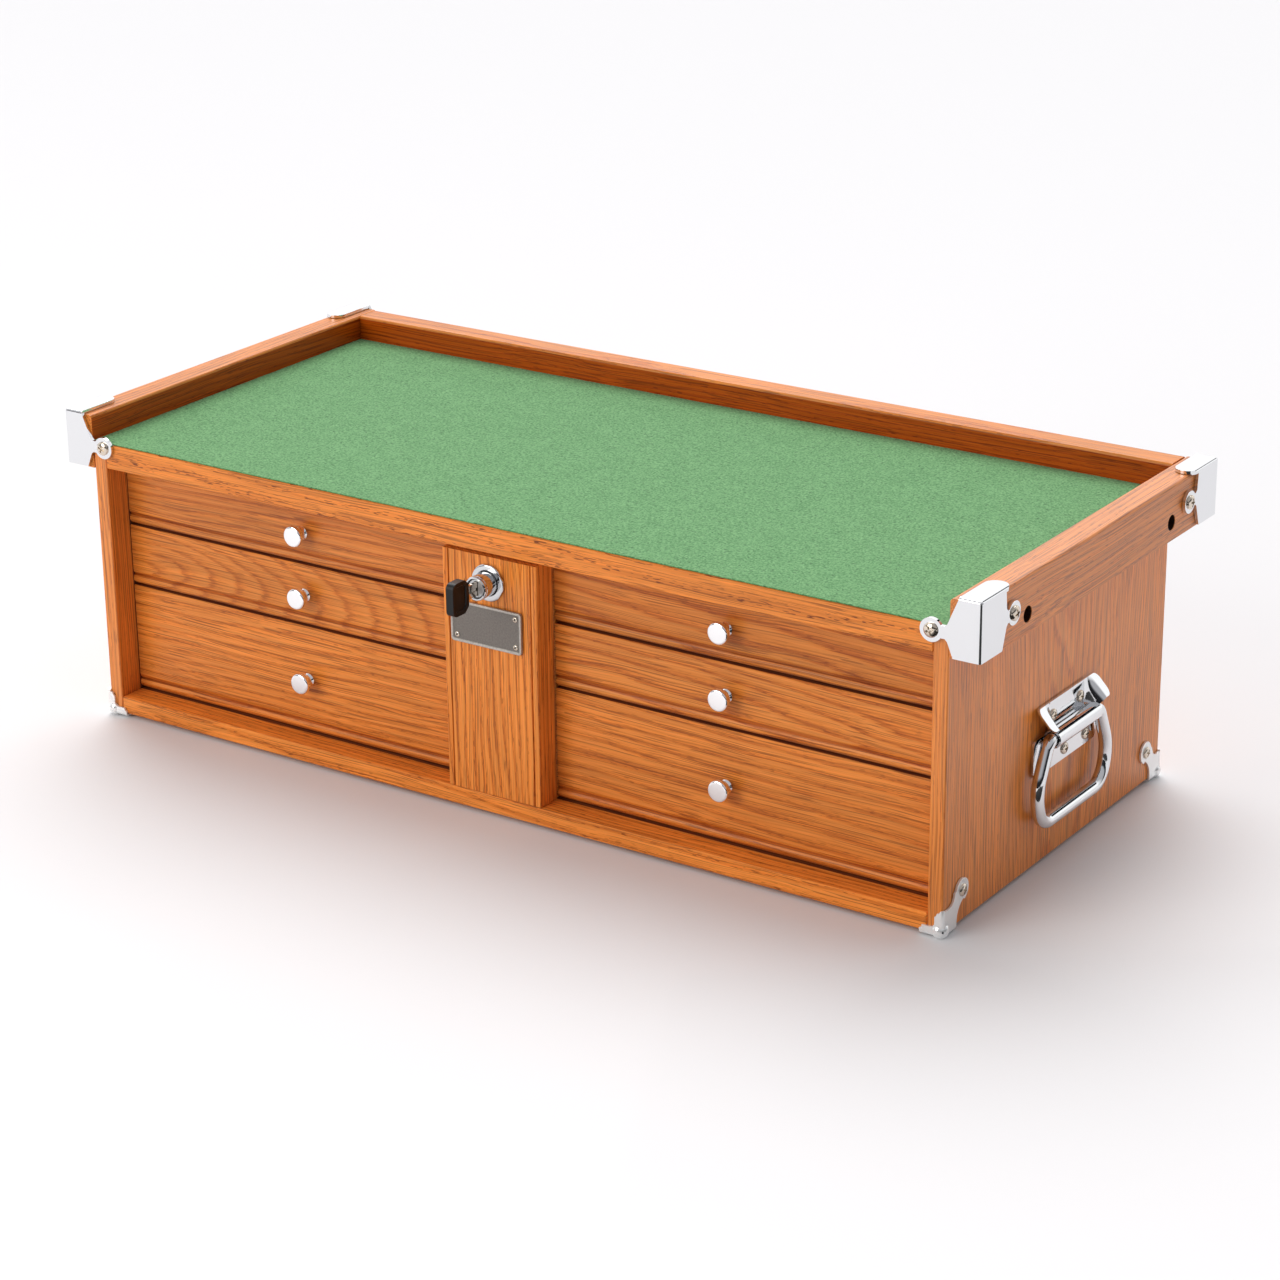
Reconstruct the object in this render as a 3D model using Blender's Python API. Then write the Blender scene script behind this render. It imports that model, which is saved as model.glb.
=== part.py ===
# Tool chest riser: a low oak case with six drawers, a railed felt top, chromed corners and side handles.
# Places are given in the case's own frame: x from its middle, y back from its front, z up from its underside.
import math

import bmesh
import bpy
from mathutils import Matrix, Vector

mm = 0.001

# Fits
glue_gap = 0.3 * mm
edge_easing = 0.6 * mm

# Case
case_width = 660 * mm
case_depth = 291.5 * mm
side_thickness = 10.2 * mm
bottom_thickness = 12 * mm
top_thickness = 17.4 * mm
back_thickness = 5 * mm
partition_thickness = 10 * mm
felt_thickness = 1 * mm

# Drawers, counted from the lowest row up
row_names = ("lower", "middle", "upper")
row_heights = (75.6 * mm, 42.3 * mm, 42.3 * mm)
front_thickness = 12 * mm
front_setback = 19 * mm
front_gap = 1.6 * mm
front_side_gap = 0.8 * mm
bead_height = 6.5 * mm
bead_groove = 1.6 * mm
cove_height = 4 * mm
box_wall = 8 * mm
box_floor = 4 * mm
box_drop = 4 * mm
box_side_gap = 1.2 * mm
box_rear_gap = 9 * mm
runner_width = 9 * mm
runner_height = 7 * mm
runner_rise = 0.6 * mm

# Knobs, turned
knob_spacing = 332 * mm
knob_reach = 11.4 * mm
knob_radius = 7.3 * mm
knob_rim = 3.6 * mm
knob_stem_radius = 3.2 * mm
knob_foot_radius = 4.6 * mm
knob_foot_height = 1.4 * mm

# Tray rails
rail_thickness = 19.5 * mm
rail_height = 37 * mm
rail_rise = 18.3 * mm
rail_easing = 2 * mm
rail_hole_radius = 5.25 * mm
rail_hole_depth = 15 * mm
rail_hole_height = 12.4 * mm
rail_hole_inset = 59 * mm
back_rail_hole_inset = 90 * mm

# Rail corner caps, pressed from sheet, measured in from their own outer faces
cap_thickness = 2.2 * mm
cap_bend = 1.6 * mm
cap_ear_radius = 7.5 * mm
cap_neck = 8 * mm
cap_front_top = 14.4 * mm
cap_front_neck = 22.3 * mm
cap_front_bottom = 18.4 * mm
cap_front_ear = 33 * mm
cap_front_ear_height = 16.2 * mm
cap_side_top = 29 * mm
cap_side_neck = 30.5 * mm
cap_side_bottom = 26 * mm
cap_side_ear = 40.2 * mm
cap_side_ear_height = 20.4 * mm
cap_top_length = 38 * mm
cap_top_width = 15.3 * mm
cap_bottom_rise = 1.1 * mm
screw_radius = 4.7 * mm
screw_height = 2.3 * mm

# Bottom corner brackets, pressed from sheet, each with a ball at its corner that it stands on
bracket_thickness = 1.4 * mm
bracket_bend = 2.2 * mm
bracket_leg = 16.5 * mm
bracket_leg_width = 6.1 * mm
bracket_height = 17 * mm
bracket_scallop = 1.7 * mm
bracket_tongue_reach = 21.5 * mm
bracket_tongue_height = 21.8 * mm
bracket_tongue_radius = 7.5 * mm
ball_radius = 5.5 * mm
ball_inset = 4 * mm
ball_height = 3.5 * mm
ball_foot = 1 * mm
ball_lap = 0.05 * mm

# Side handles
handle_setback = 150 * mm
handle_height = 85 * mm
handle_sheet = 1.8 * mm
handle_axis_offset = 7.6 * mm
flange_width = 78 * mm
flange_rise = 21.5 * mm
lower_flange_width = 84 * mm
lower_flange_drop = 23.5 * mm
lower_flange_rise = 1.6 * mm
flange_corner = 4 * mm
wing_root = 23 * mm
wing_flat = 3 * mm
wing_reach = 14 * mm
wing_foot = 8.8 * mm
flange_lap = 0.15 * mm
barrel_width = 57 * mm
barrel_radius = 5.9 * mm
bail_wire_radius = 4.3 * mm
bail_clearance = 0.4 * mm
bail_neck_width = 68 * mm
bail_width = 97 * mm
bail_waist_drop = 31 * mm
bail_foot_width = 80 * mm
bail_drop = 53.5 * mm
bail_neck_bend = 6.5 * mm
bail_side_bend = 31 * mm
bail_foot_bend = 15 * mm

# Lock bar and lock
bar_width = 73 * mm
bar_thickness = 18 * mm
bar_setback = 0.8 * mm
bar_top_gap = 2.6 * mm
bar_bead = 4.5 * mm
bar_bead_groove = 1.2 * mm
tongue_thickness = 6 * mm
tongue_foot = 1.5 * mm
tongue_head = 4 * mm
tongue_clearance = 0.4 * mm
groove_foot = 2.6 * mm
groove_head = 8 * mm
lock_height = 159 * mm
bezel_radius = 12.4 * mm
bezel_flats = 24 * mm
bezel_thickness = 2.2 * mm
housing_wall = 1.4 * mm
housing_tail = 8 * mm
cylinder_radius = 8 * mm
cylinder_reach = 14.8 * mm
cylinder_rim = 1.5 * mm
plug_recess = 1.2 * mm
plug_length = 22 * mm
keyway_depth = 14 * mm
keyway_clearance = 0.3 * mm
bolt_radius = 4.5 * mm
bolt_length = 8 * mm
lock_clearance = 0.35 * mm
key_blade_height = 9 * mm
key_blade_thickness = 2.2 * mm
key_shank = 10 * mm
key_bow_length = 16.5 * mm
key_bow_height = 22 * mm
key_bow_thickness = 5.6 * mm
key_bow_corner = 3 * mm
key_bow_easing = 1.2 * mm

# Sizes worked out from those above
half_width = case_width / 2
inner_half = half_width - side_thickness
bar_half = bar_width / 2
flange_shoulder = flange_width / 2 - flange_corner
wing_crest = flange_shoulder - wing_flat
flange_back = glue_gap + flange_lap
row_floors = []
level = bottom_thickness + front_gap
for row_height in row_heights:
    row_floors.append(level)
    level += row_height + front_gap
top_underside = level
case_height = top_underside + top_thickness
back_front = case_depth - back_thickness
front_back = front_setback + front_thickness
box_front = front_back + glue_gap
box_rear = back_front - box_rear_gap
bar_back = bar_setback + bar_thickness
partition_front = bar_back + glue_gap
rail_inner = half_width + glue_gap
rail_outer = rail_inner + rail_thickness
rail_top = case_height + rail_rise
rail_floor = rail_top - rail_height
rail_length = case_depth + glue_gap + rail_thickness
cap_outer = rail_outer + glue_gap + cap_thickness
cap_face = glue_gap + cap_thickness
bracket_face = glue_gap + bracket_thickness
cylinder_face = bar_setback - cylinder_reach
key_front = cylinder_face - key_shank - key_bow_length
case_lift = bracket_face + ball_foot
rear_reach = rail_length + cap_face + screw_height
front_line = -(key_front + rear_reach) / 2


for old in list(bpy.data.objects):
    bpy.data.objects.remove(old, do_unlink=True)


def finish(name, colour, roughness, metallic):
    made = bpy.data.materials.new(name)
    made.use_nodes = True
    shader = made.node_tree.nodes["Principled BSDF"]
    shader.inputs["Base Color"].default_value = (*colour, 1)
    shader.inputs["Roughness"].default_value = roughness
    shader.inputs["Metallic"].default_value = metallic
    made.diffuse_color = (*colour, 1)
    return made


oak = finish("stained_oak", (0.46, 0.17, 0.035), 0.35, 0)
birch = finish("drawer_wood", (0.62, 0.42, 0.22), 0.5, 0)
felt = finish("green_felt", (0.12, 0.36, 0.18), 0.95, 0)
chrome = finish("chrome_plate", (0.78, 0.78, 0.78), 0.1, 1)
black_plastic = finish("black_plastic", (0.02, 0.02, 0.02), 0.4, 0)


def empty(name, place, parent=None):
    made = bpy.data.objects.new(name, None)
    bpy.context.scene.collection.objects.link(made)
    made.location = place
    made.parent = parent
    return made


riser = empty("riser", (0, front_line, case_lift))


def piece(name, bm, material, place=(0, 0, 0), parent=riser, smooth=False, outwards=True):
    mesh = bpy.data.meshes.new(name)
    if outwards:
        bmesh.ops.recalc_face_normals(bm, faces=bm.faces[:])
    bm.to_mesh(mesh)
    bm.free()
    if smooth:
        mesh.shade_smooth()
        mesh.set_sharp_from_angle(angle=math.radians(35))
    made = bpy.data.objects.new(name, mesh)
    bpy.context.scene.collection.objects.link(made)
    made.location = place
    made.parent = parent
    made.data.materials.append(material)
    return made


def block(low, high, easing=0):
    low, high = Vector(low), Vector(high)
    bm = bmesh.new()
    bmesh.ops.create_cube(bm, size=1)
    bmesh.ops.scale(bm, vec=high - low, verts=bm.verts)
    bmesh.ops.translate(bm, vec=(low + high) / 2, verts=bm.verts)
    if easing:
        bmesh.ops.bevel(bm, geom=bm.edges[:], offset=easing, segments=1, affect="EDGES")
    return bm


def board(name, low, high, material=oak, parent=riser, easing=edge_easing):
    middle = (Vector(low) + Vector(high)) / 2
    bm = block(Vector(low) - middle, Vector(high) - middle, easing)
    return piece(name, bm, material, middle, parent)


# Extrudes an outline given in two axes along the third, from one end to the other
def prism(outline, axis, start, end):
    bm = bmesh.new()
    corners = []
    for a, b in outline:
        corner = {"x": (start, a, b), "y": (a, start, b), "z": (a, b, start)}[axis]
        corners.append(bm.verts.new(corner))
    base = bm.faces.new(corners)
    length = end - start
    step = {"x": (length, 0, 0), "y": (0, length, 0), "z": (0, 0, length)}[axis]
    swept = bmesh.ops.extrude_face_region(bm, geom=[base])
    moved = [part for part in swept["geom"] if isinstance(part, bmesh.types.BMVert)]
    bmesh.ops.translate(bm, vec=step, verts=moved)
    return bm


# Points on a circle, with both ends, angles in degrees
def arc(centre, radius, first, last, steps):
    points = []
    for i in range(steps + 1):
        turn = math.radians(first + (last - first) * i / steps)
        points.append((centre[0] + radius * math.cos(turn), centre[1] + radius * math.sin(turn)))
    return points


def rounded_box(low, high, radius, steps=4):
    (a0, b0), (a1, b1) = low, high
    corners = ((a1 - radius, b0 + radius, -90), (a1 - radius, b1 - radius, 0))
    corners += ((a0 + radius, b1 - radius, 90), (a0 + radius, b0 + radius, 180))
    points = []
    for a, b, turn in corners:
        points += arc((a, b), radius, turn, turn + 90, steps)
    return points


# Turns a profile of (radius, y) points about the y axis; a point of no radius closes an end
def turned(profile, sides):
    bm = bmesh.new()
    rings = []
    for radius, y in profile:
        if radius == 0:
            rings.append([bm.verts.new((0, y, 0))])
            continue
        ring = [(radius * math.cos(2 * math.pi * i / sides), y, radius * math.sin(2 * math.pi * i / sides))
                for i in range(sides)]
        rings.append([bm.verts.new(point) for point in ring])
    for first, second in zip(rings, rings[1:] + rings[:1]):
        if len(first) == 1 and len(second) == 1:
            continue
        for i in range(sides):
            j = (i + 1) % sides
            corners = [first[i % len(first)], first[j % len(first)], second[j % len(second)], second[i % len(second)]]
            bm.faces.new(list(dict.fromkeys(corners)))
    return bm


def combine(target, tool_bm, operation):
    tool = piece("tool", tool_bm, target.data.materials[0], target.location, target.parent)
    change = target.modifiers.new(operation.lower(), "BOOLEAN")
    change.operation = operation
    change.solver = "EXACT"
    change.object = tool
    bpy.context.view_layer.update()
    solved = target.evaluated_get(bpy.context.evaluated_depsgraph_get())
    mesh = bpy.data.meshes.new_from_object(solved)
    target.modifiers.remove(change)
    target.data = mesh
    bpy.data.objects.remove(tool, do_unlink=True)


# Takes the mesh of a helper that was only shaped to shape something else
def taken(helper):
    bm = bmesh.new()
    bm.from_mesh(helper.data)
    bpy.data.objects.remove(helper, do_unlink=True)
    return bm


def cut(target, tool_bm):
    combine(target, tool_bm, "DIFFERENCE")


def join(target, tool_bm):
    combine(target, tool_bm, "UNION")


# Mirrors a finished mesh in x, and in y about a plane, and turns its faces outwards again
def mirrored(source, name, flip_x, flip_y, y_plane, parent=riser):
    bm = bmesh.new()
    bm.from_mesh(source.data)
    for vert in bm.verts:
        if flip_x:
            vert.co.x = -vert.co.x
        if flip_y:
            vert.co.y = 2 * y_plane - vert.co.y
    if flip_x != flip_y:
        bmesh.ops.reverse_faces(bm, faces=bm.faces[:])
    return piece(name, bm, source.data.materials[0], source.location, parent, outwards=False)


def make_case():
    for side, name in ((-1, "left_side_panel"), (1, "right_side_panel")):
        reach = sorted((side * inner_half, side * half_width))
        board(name, (reach[0], 0, 0), (reach[1], case_depth, case_height))
    shelf_half = inner_half - glue_gap
    bottom = board("bottom_panel", (-shelf_half, 0, 0), (shelf_half, case_depth, bottom_thickness))
    top = board("top_panel", (-shelf_half, 0, top_underside), (shelf_half, case_depth, case_height))
    bar_middle = bar_setback + bar_thickness / 2
    groove_half = tongue_thickness / 2 + tongue_clearance
    groove_reach = bar_half + tongue_clearance
    for panel, low, high in ((bottom, bottom_thickness - groove_foot, bottom_thickness + mm),
                             (top, top_underside - mm, top_underside + groove_head)):
        place = panel.location
        groove_low = Vector((-groove_reach, bar_middle - groove_half, low)) - place
        groove_high = Vector((groove_reach, bar_middle + groove_half, high)) - place
        cut(panel, block(groove_low, groove_high))
    low_inside = bottom_thickness + glue_gap
    high_inside = top_underside - glue_gap
    board("back_panel", (-shelf_half, back_front, low_inside), (shelf_half, case_depth, high_inside))
    for side, name in ((-1, "left_partition"), (1, "right_partition")):
        reach = sorted((side * (bar_half - partition_thickness), side * bar_half))
        board(name, (reach[0], partition_front, low_inside), (reach[1], back_front - glue_gap, high_inside))
    felt_low = case_height + glue_gap
    board("felt_top", (-half_width, 0, felt_low), (half_width, case_depth, felt_low + felt_thickness), felt, easing=0)


def rail_holes(rail, places, axis, start, end):
    for along in places:
        ring = arc((along, rail_floor + rail_hole_height), rail_hole_radius, 0, 342, 19)
        cut(rail, prism(ring, axis, start, end))


# A rail's section, given across its thickness and up, with its two top edges rounded
def rail_section(inner, outer):
    section = [(inner, rail_floor), (outer, rail_floor)]
    section += arc((outer - rail_easing, rail_top - rail_easing), rail_easing, 0, 90, 3)
    section += arc((inner + rail_easing, rail_top - rail_easing), rail_easing, 90, 180, 3)
    return section


def make_rails():
    right = piece("right_rail", prism(rail_section(rail_inner, rail_outer), "y", 0, rail_length), oak)
    seats = (rail_hole_inset, rail_length - rail_hole_inset)
    rail_holes(right, seats, "x", rail_outer - rail_hole_depth, rail_outer + mm)
    mirrored(right, "left_rail", True, False, 0)
    back_inner = case_depth + glue_gap
    back = piece("back_rail", prism(rail_section(back_inner, rail_length), "x", -half_width, half_width), oak)
    back_seat = half_width - back_rail_hole_inset
    rail_holes(back, (-back_seat, 0, back_seat), "y", rail_length - rail_hole_depth, rail_length + mm)


# A three-walled pressed corner: the walls meet in rounded bends at the corner named by its outer point
def pressed_corner(name, outer, reach, wall, bend, upward):
    x, y, z = outer
    low = Vector((x - reach, y, z - reach if upward else z))
    high = Vector((x, y + reach, z if upward else z + reach))
    bm = block(low, high)
    near = Vector(outer)
    bends = [edge for edge in bm.edges if any((vert.co - near).length < mm / 100 for vert in edge.verts)]
    bmesh.ops.bevel(bm, geom=bends, offset=bend, segments=3, affect="EDGES", profile=0.5)
    corner = piece(name, bm, chrome)
    inner_low = Vector((low.x - mm, y + wall, low.z - mm if upward else z + wall))
    inner_high = Vector((x - wall, high.y + mm, z - wall if upward else high.z + mm))
    cut(corner, block(inner_low, inner_high))
    return corner


# A round screw ear on a neck, from the neck's lower to its upper side, as seen from outside
def ear_outline(root, centre, side):
    half_neck = cap_neck / 2
    opening = math.degrees(math.asin(half_neck / cap_ear_radius))
    points = [(root, centre[1] - half_neck)]
    if side < 0:
        points += arc(centre, cap_ear_radius, -opening, opening - 360, 20)
    else:
        points += arc(centre, cap_ear_radius, 180 + opening, 540 - opening, 20)
    points.append((root, centre[1] + half_neck))
    return points


# A domed screw head on the y axis, facing the front, its base half way into the sheet that it holds
def screw_head():
    base = cap_thickness / 2
    shoulder = screw_height / 4
    profile = [(0, base), (screw_radius, base), (screw_radius, -shoulder)]
    for turn in (25, 50, 70):
        swing = math.radians(turn)
        profile.append((screw_radius * math.cos(swing), -shoulder - (screw_height - shoulder) * math.sin(swing)))
    profile.append((0, -screw_height))
    return turned(profile, 16)


def seat_screws(cap, front_ear, side_ear):
    front = screw_head()
    bmesh.ops.translate(front, vec=(front_ear[0], -cap_face, front_ear[1]), verts=front.verts)
    join(cap, front)
    side = screw_head()
    bmesh.ops.rotate(side, cent=(0, 0, 0), matrix=Matrix.Rotation(math.pi / 2, 3, "Z"), verts=side.verts)
    bmesh.ops.translate(side, vec=(cap_outer, side_ear[0], side_ear[1]), verts=side.verts)
    join(cap, side)


def make_caps():
    outer = (cap_outer, -cap_face, rail_top + cap_face)
    reach = cap_side_ear + 2 * cap_ear_radius
    cap = pressed_corner("front_right_cap", outer, reach, cap_thickness, cap_bend, True)
    past = mm
    bottom = rail_floor + cap_bottom_rise
    crown = rail_top + cap_face + past
    edge = cap_outer + past
    near = -cap_face - past
    front = [(edge, bottom), (cap_outer - cap_front_bottom, bottom)]
    front_ear = (cap_outer - cap_front_ear, rail_floor + cap_front_ear_height)
    front += ear_outline(cap_outer - cap_front_neck, front_ear, -1)
    front += [(cap_outer - cap_front_top, crown), (edge, crown)]
    side = [(near, bottom), (cap_side_bottom - cap_face, bottom)]
    side_ear = (cap_side_ear - cap_face, rail_floor + cap_side_ear_height)
    side += ear_outline(cap_side_neck - cap_face, side_ear, 1)
    side += [(cap_side_top - cap_face, crown), (near, crown)]
    nose = cap_top_width / 2
    nose_centre = cap_top_length - cap_face - nose
    top = [(cap_outer - cap_top_width, near), (edge, near), (edge, nose_centre)]
    top += arc((cap_outer - nose, nose_centre), nose, 0, 180, 8)
    keep = piece("cap_outline", prism(front, "y", near, glue_gap), chrome)
    join(keep, prism(side, "x", rail_outer - glue_gap, edge))
    join(keep, prism(top, "z", rail_top - glue_gap, crown))
    combine(cap, taken(keep), "INTERSECT")
    seat_screws(cap, front_ear, side_ear)
    mirrored(cap, "front_left_cap", True, False, 0)
    mirrored(cap, "rear_right_cap", False, True, rail_length / 2)
    mirrored(cap, "rear_left_cap", True, True, rail_length / 2)


# The narrow face of a bracket: two legs with scalloped ends round a rounded inner corner
def bracket_front_outline(corner, floor, past):
    leg, width, scallop = bracket_leg, bracket_leg_width, bracket_scallop
    outline = [(corner + past, floor - past), (corner - leg, floor - past), (corner - leg, floor + width - scallop)]
    outline += arc((corner - leg, floor + width), scallop, -90, 0, 3)
    inner = (corner - width - scallop, floor + width + scallop)
    outline += arc(inner, scallop, -90, 0, 3)
    outline.append((corner - width, floor + bracket_height - scallop))
    outline += arc((corner - width, floor + bracket_height), scallop, -90, 0, 3)
    outline += [(corner - width / 2, floor + bracket_height), (corner + past, floor + bracket_height + scallop)]
    return outline


# The wide face of a bracket: a short leg and a round tongue for the screw, joined by hollow curves
def bracket_side_outline(corner, floor, past):
    lobe = (corner + bracket_tongue_reach, floor + bracket_tongue_height)
    radius = bracket_tongue_radius
    outline = [(corner - past, floor - past), (corner + bracket_leg, floor - past)]
    hollow = bracket_tongue_height - radius
    outline += arc((corner + bracket_leg + hollow, floor + hollow / 3), hollow, 180, 120, 5)
    outline += arc(lobe, radius, -70, 170, 14)
    shoulder = bracket_tongue_reach - radius
    rise = bracket_height + shoulder / 2
    outline += arc((corner + shoulder / 2, floor + rise), shoulder / 2, 0, -90, 4)
    outline.append((corner - past, floor + bracket_height))
    return outline


# The ball in a bracket's corner, cut out where the wood is and flat under its foot
def bracket_ball(x, y, z):
    ball = bmesh.new()
    bmesh.ops.create_uvsphere(ball, u_segments=16, v_segments=10, radius=ball_radius)
    bmesh.ops.translate(ball, vec=(x - ball_inset, y + ball_inset, z + ball_height), verts=ball.verts)
    shaped = piece("ball", ball, chrome)
    wall = bracket_thickness - ball_lap
    room = bracket_leg + ball_radius
    cut(shaped, block((x - room, y + wall, z + wall), (x - wall, y + room, z + room)))
    cut(shaped, block((x - room, y - room, z - room), (x + room, y + room, z - ball_foot)))
    return taken(shaped)


def make_brackets():
    x = half_width + bracket_face
    y = -bracket_face
    z = -bracket_face
    reach = bracket_tongue_reach + bracket_tongue_radius + 10 * mm
    bracket = pressed_corner("front_right_bracket", (x, y, z), reach, bracket_thickness, bracket_bend, False)
    past = mm
    keep = piece("bracket_outline", prism(bracket_front_outline(x, z, past), "y", y - past, glue_gap), chrome)
    join(keep, prism(bracket_side_outline(y, z, past), "x", half_width - glue_gap, x + past))
    sole = [(x + past, y - past), (x + past, y + bracket_leg), (x - bracket_leg_width, y + bracket_leg)]
    sole += [(x - bracket_leg, y + bracket_leg_width), (x - bracket_leg, y - past)]
    join(keep, prism(sole, "z", z - past, glue_gap))
    combine(bracket, taken(keep), "INTERSECT")
    join(bracket, bracket_ball(x, y, z))
    mirrored(bracket, "front_left_bracket", True, False, 0)
    mirrored(bracket, "rear_right_bracket", False, True, case_depth / 2)
    mirrored(bracket, "rear_left_bracket", True, True, case_depth / 2)


# A drawer front's section in y and z: a bead along the lower edge, under a shallow cove
def front_section(height):
    bead = bead_height / 2
    swing = math.degrees(math.acos((bead - bead_groove) / bead))
    section = [(front_thickness, 0), (front_thickness, height), (edge_easing, height), (0, height - edge_easing)]
    cove_top = bead_height + cove_height
    for i in range(1, 4):
        part = i / 4
        section.append((bead_groove * part ** 2, cove_top - cove_height * part))
    section.append((bead_groove, bead_height))
    section += arc((bead, bead), bead, 180 - swing, 180 + swing, 8)
    section.append((bead_groove, 0))
    return section


def knob_profile():
    rear = front_setback
    face = rear - knob_reach
    rim = knob_rim / 4
    profile = [(0, rear - glue_gap), (knob_foot_radius, rear - glue_gap)]
    profile.append((knob_foot_radius, rear - knob_foot_height))
    neck_start = rear - knob_foot_height - rim
    neck_end = face + knob_rim + rim
    profile += [(knob_stem_radius, neck_start), (knob_stem_radius, neck_end)]
    profile += [(knob_radius - rim, face + knob_rim), (knob_radius, face + knob_rim - rim)]
    profile += [(knob_radius, face + rim), (knob_radius - rim, face), (0, face)]
    return profile


def make_drawer(side, row):
    label = ("left" if side < 0 else "right") + "_" + row_names[row]
    floor = row_floors[row]
    height = row_heights[row]
    near = bar_half + front_side_gap
    far = inner_half - front_side_gap
    low_x, high_x = sorted((side * near, side * far))
    body = empty(label + "_drawer", (side * knob_spacing / 2, front_setback, floor + height / 2), riser)
    home = Vector(body.location)
    section = [(front_setback - home.y + y, floor - home.z + z) for y, z in front_section(height)]
    piece(label + "_front", prism(section, "x", low_x - home.x, high_x - home.x), oak, parent=body)
    on_runner = row > 0
    box_low = floor + runner_rise + runner_height + glue_gap if on_runner else bottom_thickness + glue_gap
    box_high = floor + height - box_drop
    box_left = low_x + box_side_gap
    box_right = high_x - box_side_gap
    box = board(label + "_box", Vector((box_left, box_front, box_low)) - home,
                Vector((box_right, box_rear, box_high)) - home, birch, body, 0)
    shift = home + box.location
    hollow_low = Vector((box_left + box_wall, box_front - mm, box_low + box_floor)) - shift
    hollow_high = Vector((box_right - box_wall, box_rear - box_wall, box_high + mm)) - shift
    cut(box, block(hollow_low, hollow_high))
    liner_low = box_low + box_floor + glue_gap
    board(label + "_liner",
          Vector((box_left + box_wall + glue_gap, box_front, liner_low)) - home,
          Vector((box_right - box_wall - glue_gap, box_rear - box_wall - glue_gap, liner_low + felt_thickness)) - home,
          felt, body, 0)
    knob = [(radius, y - home.y) for radius, y in knob_profile()]
    piece(label + "_knob", turned(knob, 24), chrome, parent=body, smooth=True)
    if on_runner:
        make_runners(label, side, floor)


def make_runners(label, side, floor):
    low_z = floor + runner_rise
    high_z = low_z + runner_height
    walls = (("inner", bar_half + glue_gap, bar_half + glue_gap + runner_width),
             ("outer", inner_half - glue_gap - runner_width, inner_half - glue_gap))
    for place, near, far in walls:
        low_x, high_x = sorted((side * near, side * far))
        board(label + "_" + place + "_runner", (low_x, box_front, low_z), (high_x, box_rear, high_z), birch)


# How far the upper flange has left the wall for the wing at its end, from 0 to 1
def wing_lean(y):
    share = (abs(y) - wing_root) / (wing_crest - wing_root)
    share = min(max(share, 0), 1)
    return share * share * (3 - 2 * share)


# One upright line of points on the upper flange, from its lower edge to its upper, with the corners rounded
def flange_column(y, depth, rows):
    lean = wing_lean(y)
    past = max(abs(y) - flange_shoulder, 0)
    dip = flange_corner - math.sqrt(max(flange_corner ** 2 - past ** 2, 0))
    low = lean * wing_foot + dip
    high = flange_rise - dip
    column = []
    for k in range(rows + 1):
        z = low + (high - low) * k / rows
        drop = (flange_rise - z) / (flange_rise - wing_foot)
        out = lean * drop * (wing_reach - flange_back - handle_sheet)
        column.append((depth + out, y, z))
    return column


# The upper flange: flat on the wall between its screws, each end pressed out to a wing that stops the bail
def flange_sheet():
    places = [0, wing_root / 2, wing_root]
    places += [wing_root + (wing_crest - wing_root) * k / 6 for k in range(1, 7)]
    places += [flange_shoulder + flange_corner * math.sin(math.radians(turn)) for turn in (0, 30, 55, 75, 90)]
    places = [-y for y in reversed(places[1:])] + places
    rows = 6
    bm = bmesh.new()
    back = [[bm.verts.new(p) for p in flange_column(y, flange_back, rows)] for y in places]
    front = [[bm.verts.new(p) for p in flange_column(y, flange_back + handle_sheet, rows)] for y in places]
    last = len(places) - 1
    for i in range(last):
        for k in range(rows):
            for sheet in (back, front):
                bm.faces.new((sheet[i][k], sheet[i + 1][k], sheet[i + 1][k + 1], sheet[i][k + 1]))
        for k in (0, rows):
            bm.faces.new((back[i][k], back[i + 1][k], front[i + 1][k], front[i][k]))
    for k in range(rows):
        for i in (0, last):
            bm.faces.new((back[i][k], back[i][k + 1], front[i][k + 1], front[i][k]))
    bmesh.ops.recalc_face_normals(bm, faces=bm.faces[:])
    return bm


# The handle plate in its own frame: x out from the wood, y along the barrel, z up from the barrel's axis
def plate_parts():
    back = glue_gap
    face = glue_gap + handle_sheet
    lower_half = lower_flange_width / 2
    lower_outline = rounded_box((-lower_half, -lower_flange_drop), (lower_half, lower_flange_rise), flange_corner)
    lower = prism(lower_outline, "x", back, face)
    barrel_ring = arc((handle_axis_offset, 0), barrel_radius, 0, 345, 23)
    barrel = prism(barrel_ring, "y", -barrel_width / 2, barrel_width / 2)
    bore_ring = arc((handle_axis_offset, 0), bail_wire_radius + bail_clearance, 0, 345, 23)
    bore = prism(bore_ring, "y", -barrel_width, barrel_width)
    return flange_sheet(), lower, barrel, bore


# Rounds each corner of a closed outline by its own radius
def filleted(corners, steps):
    points = []
    count = len(corners)
    for i in range(count):
        before, here, after = (Vector(corners[(i + k) % count][:2]) for k in (-1, 0, 1))
        radius = corners[i][2]
        to_before = (before - here).normalized()
        to_after = (after - here).normalized()
        half_turn = to_before.angle(to_after) / 2
        centre = here + (to_before + to_after).normalized() * (radius / math.sin(half_turn))
        start = here + to_before * (radius / math.tan(half_turn)) - centre
        end = here + to_after * (radius / math.tan(half_turn)) - centre
        sweep = start.angle_signed(end)
        for k in range(steps + 1):
            turn = -sweep * k / steps
            points.append(centre + Vector((start.x * math.cos(turn) - start.y * math.sin(turn),
                                           start.x * math.sin(turn) + start.y * math.cos(turn))))
    return points


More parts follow.
